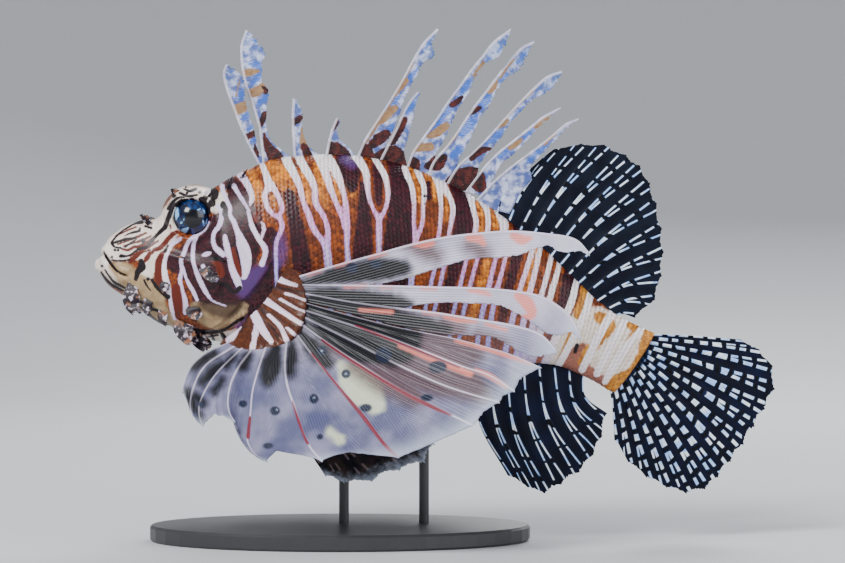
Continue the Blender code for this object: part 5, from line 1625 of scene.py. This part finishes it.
BLADE_EDGES = [
    [(303, 284), (340, 285), (378, 284), (405, 279), (430, 271), (460, 262), (480, 258), (500, 258),
     (520, 255),
     (540, 248), (549, 246), (558, 251), (570, 253), (580, 251), (590, 256)],
    [(306, 293), (350, 301), (400, 308), (412, 306), (440, 303), (480, 304), (500, 306), (515, 313),
     (530, 322),
     (543, 332), (557, 336), (570, 333), (581, 340)],
    [(307, 302), (350, 314), (400, 327), (440, 335), (465, 336), (490, 337), (505, 344), (522, 354),
     (537, 358),
     (550, 355), (557, 353)],
]
KNUCKLE_OUT = 38.0
BOTH_SIDES = (("left", 1), ("right", -1))
JOINED_DIPS = [3.0, 2.0, 3.0, 1.5, 8.0, 12.0, 9.0, 5.0, 3.0, 2.5]
BLADE_ROWS, BLADE_COLUMNS = 130, 26
print("rays:", len(PECTORAL_RAYS), "free blades:", len(BLADE_EDGES))

# %% [markdown]
# Each drawn line is carried out beside the fish, further the nearer its tip, and then blades and fan
# are made from the lines. The fin leaves the knuckles of a fleshy root.

# %% Make the pectoral fins


def beside_line(pixels, root_out, tip_out):
    """A drawn line beside the fish, further out towards its end."""
    pixels = np.array(pixels, float)
    steps = np.concatenate([[0], np.cumsum(np.linalg.norm(np.diff(pixels[:, :2], axis=0), axis=1))])
    return beside_fish(pixels[:, 0], pixels[:, 1], root_out + (tip_out - root_out) * steps / steps[-1])


def make_pectoral(name, side):
    """Three blades and a joined fan, as closed sheets in one mesh, with the same measures on both sides."""
    lines = [beside_line(ray.line, KNUCKLE_OUT, ray.tip_out) for ray in PECTORAL_RAYS]
    sheets = []
    for i, drawn in enumerate(BLADE_EDGES):
        edge_out = 0.5 * (PECTORAL_RAYS[i].tip_out + PECTORAL_RAYS[i + 1].tip_out)
        edge = beside_line(drawn, KNUCKLE_OUT + 0.8, edge_out)
        grid, fields = vane(lines[i], edge, BLADE_ROWS, BLADE_COLUMNS, fray=0.5)
        fields["ray"] = fields["ray"] + i
        sheets.append((grid, ray_thickness(fields, *PECTORAL_RAY), fields))
    joined = len(BLADE_EDGES)
    rays = [evenly(line, np.linspace(0, 1, 9)) for line in lines[joined:]]
    grid, fields = fan(rays, 20, 100, 0.0, 0.3, 0.0, billow=1.2, dips=JOINED_DIPS)
    fields["ray"] = fields["ray"] + joined
    sheets.append((grid, ray_thickness(fields, *PECTORAL_RAY), fields))
    marked = []
    for grid, thick, fields in sheets:
        fields = {**fields, **pectoral_fields(in_picture(grid))}
        marked.append((grid * (1, side, 1), thick, fields))
    return joined_grids(name, marked)


pectoral_meshes = {"pectoral_fin_" + name: make_pectoral(name, side) for name, side in BOTH_SIDES}
print("pectorals:", {name: len(mesh.polygons) for name, mesh in pectoral_meshes.items()}, "faces")

# %% [markdown]
# ## The pelvic fins
#
# The brown fins under the belly have one spine and five rays each. They use the same fan, drawn with the
# solids' own values.

# %% Make the pelvic fins
PELVIC_ROOT = [(-38.0, 94.0), (-22.0, 91.0)]
PELVIC_MIDDLES = [(-25.0, 60.0), (-16.0, 57.5), (-7.5, 57.5), (2.5, 60.0), (10.0, 62.5), (16.0, 67.5)]
PELVIC_TIPS = [(-7.0, 31.5), (2.5, 28.0), (16.0, 29.0), (30.0, 34.5), (42.5, 38.5), (48.0, 47.5)]
PELVIC_OUT = (9.0, 20.0, 30.0)


def pelvic_point(place, out):
    """A point of the pelvic fin, this far out, from its place in the side view."""
    return beside_fish((place[0] - PICTURE_LEFT) / PIXEL, (PICTURE_TOP - place[1]) / PIXEL, out)


def make_pelvic(name, side):
    """A pelvic fin as one closed sheet."""
    rays = []
    for i, (middle, tip) in enumerate(zip(PELVIC_MIDDLES, PELVIC_TIPS)):
        x, z = curve(PELVIC_ROOT, i / (len(PELVIC_TIPS) - 1))
        root = (x, -PELVIC_OUT[0], z)
        rays.append([root, pelvic_point(middle, PELVIC_OUT[1]), pelvic_point(tip, PELVIC_OUT[2])])
    grid, fields = fan(rays, 22, 90, 2.6, 0.5, 0.22, billow=0.8)
    return joined_grids(name, [(grid * (1, side, 1), ray_thickness(fields, *PELVIC_RAY), fields)])


pelvic_meshes = {"pelvic_fin_" + name: make_pelvic(name, side) for name, side in BOTH_SIDES}
print("pelvics:", {name: len(mesh.polygons) for name, mesh in pelvic_meshes.items()}, "faces")

# %% [markdown]
# ## The fleshy roots of the pectoral fins
#
# Each pectoral fin stands on a fleshy lobe that comes out of the shoulder and ends in a row of knuckles,
# one for each ray. It is a thick curved pad, ridged towards the knuckles, and it keeps the body's pale
# lines. Its front is sunk in the skin and its edge in the feet of the rays.

# %% The shape and lines of the fleshy roots
LOBE_FOOT = [(-31.0, 140.0), (-36.0, 128.0), (-40.0, 115.0), (-47.0, 103.0), (-58.0, 97.0)]
LOBE_EDGE = [(-17.0, 132.5), (-15.5, 123.0), (-16.0, 112.0), (-20.0, 104.0), (-27.0, 98.5), (-38.0, 95.5),
             (-48.0, 95.0), (-57.0, 97.5)]
LOBE_FOOT_OUT, LOBE_THICK, LOBE_EDGE_THICK, LOBE_RIDGE = 17.0, 11.0, 4.0, 1.1
LOBE_KNUCKLES, OUTSIDE = 13, 12.0
LOBE_LINES = [
    [(262, 282, 5), (266, 275, 8), (275, 275, 9), (286, 281, 6), (299, 285, 4)],
    [(262, 296, 5), (270, 301, 7), (284, 311, 6), (298, 321, 5), (307, 328, 4)],
    [(254, 304, 5), (260, 316, 8), (264, 328, 9), (268, 338, 8), (272, 344, 6)],
    [(262, 330, 5), (256, 345, 5), (250, 356, 4)],
    [(290, 294, 3), (300, 297, 3), (310, 303, 2)],
    [(285, 300, 3), (297, 307, 3), (308, 313, 2)],
    [(246, 332, 4), (236, 342, 5), (228, 346, 3)],
    [(274, 318, 4), (284, 330, 5), (288, 344, 5)],
    [(290, 330, 3), (298, 338, 4)],
]
LOBE_DARK = [
    [(280, 288, 4), (292, 290, 3), (304, 292, 3)],
    [(262, 306, 4), (272, 316, 5), (282, 324, 4)],
    [(246, 312, 6), (250, 325, 7), (244, 336, 5)],
    [(274, 328, 3), (280, 340, 4)],
]
print("lines on a root:", len(LOBE_LINES + LOBE_DARK))

# %% [markdown]
# The pad is a grid from its foot in the shoulder to the knuckles, thick at the foot and ridged where
# each ray begins. It wears the skin's finish.

# %% Make the fleshy roots


def make_lobe(name, side):
    """A closed ridged pad from the shoulder to the knuckles, with the skin's measures."""
    rows, columns = 46, 150
    foot = evenly(np.array(LOBE_FOOT), np.linspace(0, 1, columns))
    edge = evenly(np.array(LOBE_EDGE), np.linspace(0, 1, columns))
    share = np.linspace(0, 1, rows)[:, None]
    out = LOBE_FOOT_OUT + (KNUCKLE_OUT - LOBE_FOOT_OUT) * share**1.15
    grid = np.empty((rows, columns, 3))
    grid[..., 0] = foot[None, :, 0] + (edge - foot)[None, :, 0] * share
    grid[..., 1] = -out
    grid[..., 2] = foot[None, :, 1] + (edge - foot)[None, :, 1] * share
    turn = np.linspace(0, 1, columns)[None, :]
    ridge = np.cos(2 * math.pi * LOBE_KNUCKLES * turn) * np.clip(share * 1.6 - 0.3, 0, 1)
    ends = np.sin(np.pi * np.clip(turn, 0.015, 0.985)) ** 0.35
    thick = (LOBE_THICK + (LOBE_EDGE_THICK - LOBE_THICK) * share + LOBE_RIDGE * ridge) * ends
    thick = thick * np.clip((1.02 - share) / 0.12, 0.12, 1) ** 0.5
    pixels = in_picture(grid)
    level = np.zeros((rows, columns))
    fields = {field: level - OUTSIDE for field in skin_fields(pixels[:1])}
    fields.update(
        pale=stripe_depth(pixels, LOBE_LINES), maroon=stripe_depth(pixels, LOBE_DARK), bag=level + 1.5,
        lilac=level + 0.25, blue=level + 0.3 * (1 - share), belly=level + 0.1,
    )
    return joined_grids(name, [(grid * (1, side, 1), thick, fields)])


lobe_meshes = {"root_" + name: make_lobe("root_" + name, side) for name, side in BOTH_SIDES}
print("fleshy roots:", {name: len(mesh.polygons) for name, mesh in lobe_meshes.items()}, "faces")

# %% [markdown]
# ## The eyes and the rings of skin round them
#
# A lionfish's eye sits high on the head in a turret of skin. The ball is turned about the line of sight,
# which makes it exactly round, and each ring is turned too, from a lid that hugs the ball down a slope
# that enters the head. The ball's measures are its share of the way out from the pupil's centre and
# marks drawn on the iris.

# %% The marks of the eye
BALL_RADIUS, BALL_BACK = 9.9, 13.6
PUPIL_X, PUPIL_Y, PUPIL_WIDE, PUPIL_TALL = 193.5, 219.0, 9.0, 9.6
# The pale marks are partly flecks of the iris and partly painted highlights of the glossy ball.
IRIS_PALE_AND_HIGHLIGHT = [
    [(176, 206, 5), (177, 214, 6), (175, 221, 4)], [(181, 223, 4), (185, 219, 4)],
    [(184, 231, 8), (188, 228, 4)],
    [(203, 221, 4), (204, 226, 3)], [(205, 213, 4), (203, 209, 3)], [(200, 209, 4), (196, 211, 3)],
    [(178, 229, 3), (182, 233, 4), (187, 236, 3)], [(207, 219, 3), (206, 224, 3)],
]
IRIS_DARK = [
    [(181, 206, 6), (186, 211, 9), (190, 215, 8)], [(204, 200, 5), (208, 208, 5), (206, 215, 3)],
    [(173, 214, 2), (176, 224, 3), (179, 226, 2)], [(181, 213, 3), (182, 220, 2), (186, 224, 2)],
    [(196, 231, 5), (203, 230, 5), (207, 226, 3)], [(188, 236, 2), (190, 231, 3)],
    [(202, 216, 3), (208, 216, 2)],
]
RING_PROFILE = [(8.6, 4.6), (9.0, 5.9), (9.9, 6.7), (10.9, 6.5), (12.0, 5.2), (13.2, 2.8), (14.4, -1.0),
                (15.6, -5.5), (16.6, -11.0)]


print("marks of an iris:", len(IRIS_PALE_AND_HIGHLIGHT + IRIS_DARK))

# %% [markdown]
# Ball and ring are profiles turned round one line. The ring gets a few soft lumps, as skin has.

# %% Make the eyes


def turned(name, profile, side, fields_at, steps=140):
    """A surface turned about the line through one eye, from (radius, height) pairs in millimetres."""
    turn = np.linspace(0, 2 * math.pi * side, steps, endpoint=False)
    radius, height = np.array(profile, float).T
    x = EYE_X + radius[:, None] * np.cos(turn)
    z = EYE_Z + radius[:, None] * np.sin(turn)
    y = -(BALL_BACK + height[:, None] + 0 * x)
    grid = np.stack([x, y, z], -1)
    if name.startswith("ring"):
        lumps = 0.35 * np.sin(5 * turn + 1.0) + 0.25 * np.sin(9 * turn) + 0.2 * np.sin(17 * turn + 2.0)
        grid[2:6, :, 1] -= lumps * np.array([0.6, 1.0, 1.0, 0.6])[:, None]
    fields = fields_at(in_picture(grid), np.broadcast_to(radius[:, None], x.shape))
    return grid_mesh(name, grid * (1, side, 1), fields, round_columns=True, ends=True)


def ball_fields(pixels, radius):
    """The measures of the eyeball's finish."""
    from_pupil = np.hypot((pixels[..., 0] - PUPIL_X) / PUPIL_WIDE, (pixels[..., 1] - PUPIL_Y) / PUPIL_TALL)
    return {"iris_pale_and_highlight": stripe_depth(pixels, IRIS_PALE_AND_HIGHLIGHT), "iris_dark": stripe_depth(pixels, IRIS_DARK),
            "from_pupil": from_pupil}


def make_eyes():
    """Both eyeballs and both rings of skin."""
    tilt = np.linspace(0, math.pi, 90)[1:-1]
    ball = [(BALL_RADIUS * math.sin(a), BALL_RADIUS * math.cos(a)) for a in tilt]
    ring = smooth_line(RING_PROFILE, 5)
    made = {}
    for name, side in BOTH_SIDES:
        made["ball_" + name] = turned("ball_" + name, ball, side, ball_fields)
        made["ring_" + name] = turned("ring_" + name, ring, side, lambda pixels, _: skin_fields(pixels))
    return made


eye_meshes = make_eyes()
print("eyes:", {name: len(mesh.polygons) for name, mesh in eye_meshes.items()}, "faces")

# %% [markdown]
# ## Skin flaps of the head
#
# Small fringed flaps of skin break up the outline of the head: over the eye, at the nostril, on the
# cheek, at the corner of the mouth and under the jaw. Each is a small leaf with a ragged edge, rooted in
# the skin at its first point.

# %% The lines of flaps and short spines
Flap = namedtuple("Flap", "out line edge")
FLAPS = [
    Flap(3.5, [(129, 281), (126, 289), (123, 298), (126, 308), (133, 315)],
         [(138, 282), (139, 290), (141, 299), (139, 308), (134, 315)]),
    Flap(2.5, [(146, 297), (143, 303), (144, 311), (148, 316)],
         [(154, 300), (153, 307), (152, 312), (149, 317)]),
    Flap(2.0, [(160, 309), (158, 315), (160, 321), (165, 326)],
         [(168, 312), (168, 318), (168, 323), (166, 327)]),
    Flap(4.0, [(177, 319), (174, 328), (178, 337), (187, 345)],
         [(192, 323), (196, 332), (197, 340), (189, 346)]),
    Flap(3.0, [(192, 330), (190, 338), (194, 345), (203, 352)],
         [(206, 334), (208, 341), (209, 347), (204, 353)]),
    Flap(2.5, [(149, 226), (144, 221), (140, 215)], [(153, 224), (150, 217), (142, 213)]),
    Flap(4.0, [(202, 265), (200, 271), (205, 278), (213, 283)],
         [(208, 263), (212, 269), (219, 274), (217, 282)]),
    Flap(3.0, [(189, 306), (186, 311), (189, 317), (196, 320)],
         [(196, 305), (201, 309), (203, 315), (198, 320)]),
    Flap(2.0, [(178, 199), (173, 194), (171, 189)], [(184, 197), (180, 190), (174, 187)]),
    Flap(2.0, [(188, 197), (185, 191), (186, 186)], [(194, 197), (194, 190), (188, 185)]),
    Flap(2.5, [(163, 280), (160, 286), (163, 293)], [(169, 281), (170, 288), (165, 294)]),
]
HEAD_SPINES = [((226, 190), (233, 175), 1.6), ((206, 199), (214, 190), 1.3), ((219, 262), (229, 258), 1.0),
               ((176, 256), (186, 258), 1.0), ((240, 180), (248, 168), 1.4)]


print("flaps:", len(FLAPS), "short spines:", len(HEAD_SPINES))

# %% [markdown]
# A flap or a short spine starts a little under the skin, so its foot is first looked up there.

# %% Make the flaps


def skin_out(pixel):
    """How far out the skin of the near side stands where the camera sees it at this pixel."""
    near = np.hypot(*np.moveaxis(in_picture(skin_points) - pixel, -1, 0))
    ring, column = np.unravel_index(near.argmin(), near.shape)
    return abs(skin_points[ring, column, 1])


def make_flaps(side):
    """All flaps and short spines of one side of the head, as one mesh of closed pieces."""
    sheets = []
    for number, flap in enumerate(FLAPS):
        root = skin_out(flap.line[0])
        line, edge = (beside_line(drawn, root - 0.8, root + flap.out) for drawn in (flap.line, flap.edge))
        grid, fields = vane(line, edge, 48, 18, lead=0.3, fray=1.6)
        fields = {"share": fields["share"], "off_ray": fields["off_ray"], "ray": fields["ray"] + number}
        curl = 0.8 * np.sin(fields["share"] * 5 + number) * (fields["off_ray"] / 4)
        grid = grid + np.stack([0 * curl, -np.abs(curl), 0 * curl], -1)
        sheets.append((grid * (1, side, 1), np.clip(0.7 - 0.4 * fields["share"], 0.25, None), fields))
    for number, (foot, tip, thick) in enumerate(HEAD_SPINES):
        out = skin_out(foot)
        ends = beside_line([foot, tip], out - 1.0, out + 2.5)
        along = np.linspace(0, 1, 20)[:, None]
        middle = ends[0] + (ends[1] - ends[0]) * along
        width = thick * (1 - along**1.5) + 0.12
        grid = middle[:, None, :] + np.linspace(-0.5, 0.5, 7)[None, :, None] * width[..., None] * (1, 0, 0.6)
        level = np.zeros(grid.shape[:2])
        fields = {"share": along + level, "off_ray": level, "ray": level + number}
        sheets.append((grid * (1, side, 1), np.broadcast_to(width, grid.shape[:2]), fields))
    return joined_grids("flaps", sheets)


flap_meshes = {"flaps_" + name: make_flaps(side) for name, side in BOTH_SIDES}
print("flaps:", {name: len(mesh.polygons) for name, mesh in flap_meshes.items()}, "faces")

# %% [markdown]
# ## Finishes of the fins, eyes and stand
#
# Each kind of fin skin gets its own recipe, from the measures that its mesh carries. The spines are pale
# blue with their drawn bands, and fine fibres run across them.

# %% Mix the spines
PEARL_LOW, PEARL_HIGH = (0.10, 0.11, 0.22), (0.66, 0.62, 0.76)
AZURE = (0.04, 0.16, 0.62)
SPINE_TAN_LOW, SPINE_TAN_HIGH = (0.24, 0.12, 0.06), (0.50, 0.34, 0.19)
WEB_BROWN, WEB_DEEP = (0.120, 0.022, 0.018), (0.030, 0.004, 0.008)
FIN_NIGHT, FIN_SLATE = (0.002, 0.004, 0.016), (0.008, 0.014, 0.030)
SMOKE_BROWN, SHADE_DARK = (0.110, 0.055, 0.060), (0.006, 0.007, 0.014)
IVORY, SALMON, RAY_CRIMSON = (0.60, 0.64, 0.50), (0.84, 0.24, 0.18), (0.23, 0.022, 0.050)


def mix_spines():
    """Pale blue vanes with tan and brown bands, and a pale needle that is partly a painted highlight."""
    skin = Finish("spine_mix", roughness=0.42, Specular_IOR_Level=0.35)
    wobble = skin.scaled(skin.noise(1.6, 3.0), 3.0, -1.5)
    fibre = skin.scaled(skin.field("along"), 6.5, skin.times(skin.noise(2.2, 2.0), 16.0))
    fibre = skin.step(skin.math("SINE", fibre), -0.6, 0.9)
    ground = skin.mix(skin.clouds(4.0, 3.0, 0.33, 0.62), (0.64, 0.68, 0.88), (0.11, 0.16, 0.42))
    azure = skin.times(skin.inside("azure", -0.6, 1.6, wobble), skin.scaled(fibre, 0.45, 0.55))
    ground = skin.mix(azure, ground, AZURE)
    tip = skin.step(skin.field("share"), 0.6, 0.95)
    ground = skin.mix(skin.times(skin.times(tip, fibre), 0.55), ground, (0.10, 0.22, 0.48))
    tan = skin.mix(skin.noise(2.5, 2.0), SPINE_TAN_LOW, SPINE_TAN_HIGH)
    ground = skin.mix(skin.inside("tan", -0.5, 0.7, wobble), ground, tan)
    brown = skin.mix(skin.clouds(3.0, 2.0, 0.35, 0.7), WEB_DEEP, WEB_BROWN)
    ground = skin.mix(skin.inside("brown", -0.5, 0.7, wobble), ground, brown)
    # the pale needle along each spine is partly its own colour and partly a painted highlight of the round
    # spine
    needle = skin.step(skin.field("off_ray"), 0.35, 1.0, 0.7, 0.0)
    ground = skin.mix(needle, ground, (0.78, 0.74, 0.80))
    skin.colour(ground)
    skin.bumps(fibre, 0.10)
    return skin

# %% [markdown]
# The dashes of the dark fins follow the rays. Which part of a dash a point is in comes from its length
# along the ray, and the black spots fill the gaps on the skin between.

# %% Mix the dark fins


def mix_dark_fin(name, period, dashed, width, first_dash, slate):
    """Near-black skin with pale dashes on its rays: one dash each period, in millimetres."""
    skin = Finish(name, roughness=0.55, Specular_IOR_Level=0.14)
    drift = skin.times(skin.noise(9.0, 1.0), 0.9)
    turn = skin.scaled(skin.field("ray"), 0.618, drift)
    place = skin.math("FRACT", skin.scaled(skin.field("along"), 1 / period, turn))
    dash = skin.times(skin.step(place, 0.0, 0.05), skin.step(place, dashed, dashed + 0.05, 1.0, 0.0))
    near = skin.step(skin.field("off_ray"), width * 0.75, width * 1.1, 1.0, 0.0)
    begun = skin.step(skin.field("along"), first_dash * 0.6, first_dash)
    dash = skin.times(skin.times(dash, near), begun)
    from_gap = skin.math("ABSOLUTE", skin.math("SUBTRACT", place, (1 + dashed) / 2 + 0.02))
    gap = skin.step(from_gap, 0.06, 0.16, 1.0, 0.0)
    spot = skin.times(gap, skin.step(skin.field("off_ray"), width * 1.3, width * 1.9, 1.0, 0.0))
    ground = skin.mix(skin.clouds(12.0, 3.0, 0.35, 0.7), FIN_NIGHT, slate)
    ground = skin.mix(skin.step(skin.field("off_ray"), 0.3, 1.6, 0.25, 0.0), ground, (0.02, 0.06, 0.20))
    ground = skin.mix(spot, ground, (0.002, 0.003, 0.008))
    pale = skin.mix(skin.clouds(5.0, 2.0, 0.35, 0.65), (0.88, 0.95, 1.0), (0.42, 0.62, 0.98))
    ground = skin.mix(dash, ground, pale)
    skin.colour(ground)
    skin.bumps(skin.noise(0.7, 2.0), 0.08)
    return skin

# %% [markdown]
# The pectoral skin is laid in the order of a glaze painter: pearl, ivory, smoke, shade, pink, rays,
# crimson and spots, each over the last.

# %% Mix the pectoral fins


def mix_pectoral():
    """Pearly skin with smoke, spots, pink bars and crimson rays."""
    skin = Finish("pectoral_mix", roughness=0.42, Specular_IOR_Level=0.35)
    wobble = skin.scaled(skin.noise(5.0, 3.0), 6.0, -3.0)
    small_wobble = skin.scaled(skin.noise(1.5, 2.0), 1.2, -0.6)
    pearl = skin.clouds(17.0, 2.0, 0.25, 0.75)
    pearl = skin.scaled(pearl, 0.35, skin.times(skin.field("low"), 0.66))
    ground = skin.mix(pearl, PEARL_HIGH, PEARL_LOW)
    ground = skin.mix(skin.inside("ivory", -3.0, 5.0, wobble), ground, IVORY)
    smoke = skin.inside("smoke", -14.0, 5.0, wobble)
    ground = skin.mix(skin.times(smoke, 0.85), ground, SMOKE_BROWN)
    shade = skin.inside("shade", -8.0, 3.0, wobble)
    ground = skin.mix(shade, ground, SHADE_DARK)
    pink = skin.inside("pink", -2.2, 2.0, small_wobble)
    ground = skin.mix(skin.times(pink, 0.8), ground, SALMON)
    ray = skin.step(skin.field("off_ray"), 0.3, 0.85, 0.75, 0.0)
    ray = skin.times(ray, skin.scaled(shade, -0.55, 1.0))
    ground = skin.mix(ray, ground, (0.74, 0.68, 0.80))
    ground = skin.mix(skin.step(skin.field("crimson"), -0.6, 0.8), ground, RAY_CRIMSON)
    ground = skin.mix(skin.step(skin.field("spot"), -1.4, 1.2), ground, (0.010, 0.020, 0.055))
    ground = skin.mix(skin.step(skin.field("eyelet"), -0.4, 0.8, 0.0, 0.8), ground, (0.30, 0.36, 0.44))
    tip = skin.step(skin.field("share"), 0.86, 1.0)
    ground = skin.mix(skin.times(tip, 0.4), ground, (0.80, 0.88, 1.0))
    skin.colour(ground)
    crease = skin.math("SINE", skin.scaled(skin.field("off_ray"), 5.0, skin.noise(3.0, 2.0)))
    skin.bumps(crease, 0.05)
    return skin

# %% [markdown]
# The pelvic fins are nearly black. The eye is a dark iris with pale flecks, which are partly painted
# highlights, and a black pupil, under a clear coat, which is what gives an eye its life.

# %% Mix the pelvic fins and the eyes


def mix_pelvic():
    """Near-black skin with brown clouds, pale bars on the rays and pale tips."""
    skin = Finish("pelvic_mix", roughness=0.5, Specular_IOR_Level=0.15)
    ground = skin.mix(skin.clouds(7.0, 3.0, 0.35, 0.65), (0.006, 0.008, 0.014), (0.050, 0.034, 0.030))
    turn = skin.times(skin.field("ray"), 0.4)
    place = skin.math("FRACT", skin.scaled(skin.field("along"), 0.11, turn))
    bar = skin.times(skin.step(place, 0.45, 0.6), skin.step(skin.field("off_ray"), 0.3, 0.9, 0.6, 0.0))
    ground = skin.mix(bar, ground, (0.26, 0.20, 0.20))
    tip = skin.step(skin.scaled(skin.noise(2.5, 3.0), 0.12, skin.field("share")), 0.95, 1.06)
    ground = skin.mix(tip, ground, (0.34, 0.38, 0.46))
    skin.colour(ground)
    skin.bumps(skin.noise(0.7, 2.0), 0.08)
    return skin


def mix_eye():
    """A black pupil in a blue, streaky iris with pale flecks that are partly painted highlights, under a
    clear coat.
    """
    eye = Finish("eye_mix", roughness=0.2, Specular_IOR_Level=0.3, Coat_Weight=0.5, Coat_Roughness=0.02)
    wobble = eye.scaled(eye.noise(1.0, 3.0), 2.4, -1.2)
    iris = eye.mix(eye.clouds(1.8, 3.0, 0.35, 0.65), (0.004, 0.012, 0.050), (0.010, 0.060, 0.200))
    # pale flecks of the iris, partly painted highlights
    pale = eye.mix(eye.noise(1.2), (0.10, 0.36, 0.70), (0.50, 0.74, 0.92))
    iris = eye.mix(eye.inside("iris_pale_and_highlight", 0.5, 1.7, wobble), iris, pale)
    iris = eye.mix(eye.inside("iris_dark", -0.7, 0.7, wobble), iris, (0.006, 0.012, 0.040))
    from_pupil = eye.scaled(eye.noise(1.6, 2.0), 0.25, eye.field("from_pupil"))
    pupil = eye.step(from_pupil, 1.06, 1.18, 1.0, 0.0)
    eye.colour(eye.mix(pupil, iris, (0.002, 0.003, 0.008)))
    return eye

# %% [markdown]
# The flaps are mottled like weed. The stand is plain dark paint, as a museum's would be.

# %% Mix the flaps and the stand


def mix_flaps():
    """Dark skin with pale and tan blotches."""
    skin = Finish("flap_mix", roughness=0.45, Specular_IOR_Level=0.3)
    ground = skin.mix(skin.clouds(2.4, 3.0, 0.52, 0.64), (0.020, 0.010, 0.020), (0.62, 0.54, 0.62))
    ground = skin.mix(skin.clouds(4.0, 2.0, 0.56, 0.66), ground, (0.28, 0.13, 0.07))
    skin.colour(ground)
    skin.bumps(skin.noise(0.6, 2.0), 0.10)
    return skin


def mix_stand():
    """Satin dark paint with a faint orange-peel surface."""
    paint = Finish("stand_mix", roughness=0.45, Coat_Weight=0.1, Coat_Roughness=0.3)
    paint.colour(paint.mix(paint.noise(6.0, 3.0), (0.040, 0.042, 0.046), (0.055, 0.056, 0.060)))
    paint.bumps(paint.noise(0.9, 2.0), 0.03)
    return paint


dark_mixes = {
    "dorsal_fin_soft": mix_dark_fin("dorsal_mix", 8.5, 0.70, 0.52, 6.0, FIN_SLATE),
    "anal_fin": mix_dark_fin("anal_mix", 12.0, 0.80, 0.48, 7.0, (0.004, 0.010, 0.040)),
    "tail_fin": mix_dark_fin("tail_mix", 7.0, 0.60, 0.95, 4.0, (0.003, 0.008, 0.040)),
}
print("fin finishes:", len(dark_mixes) + 3)

# %% [markdown]
# ## Putting the pieces in place
#
# Each piece takes the place of the solids that it stands for and rides on the fish's one body. The stand
# keeps its solids and only gets its paint.

# %% Show the pieces
spine_mix, pectoral_mix, pelvic_mix = mix_spines(), mix_pectoral(), mix_pelvic()
eye_mix, flap_mix, stand_mix = mix_eye(), mix_flaps(), mix_stand()
for name, mesh in spine_meshes.items():
    show(name + "_fin", mesh, spine_mix, name, slot="spine_skin")
for name, mesh in middle_meshes.items():
    show(name + "_rays", mesh, dark_mixes[name], name, slot="dark_fin")
for name, mesh in pectoral_meshes.items():
    show(name + "_rays", mesh, pectoral_mix, name, slot="pale_fin")
for name, mesh in pelvic_meshes.items():
    show(name + "_rays", mesh, pelvic_mix, name, slot="brown_fin")
for name, mesh in lobe_meshes.items():
    show("pectoral_" + name, mesh, skin_mix, slot="body_skin")
for name, mesh in flap_meshes.items():
    show(name, mesh, flap_mix, slot="head_skin")
for side, _ in BOTH_SIDES:
    show("eyeball_" + side, eye_meshes["ball_" + side], eye_mix, "eye_" + side, slot="eye")
    show("eye_ring_" + side, eye_meshes["ring_" + side], skin_mix, slot="head_skin")
for name in ("stand_base", "stand_rod_front", "stand_rod_rear"):
    frame["nodes"][name].data.materials.clear()
    frame["nodes"][name].data.materials.append(stand_mix.material)

# %% [markdown]
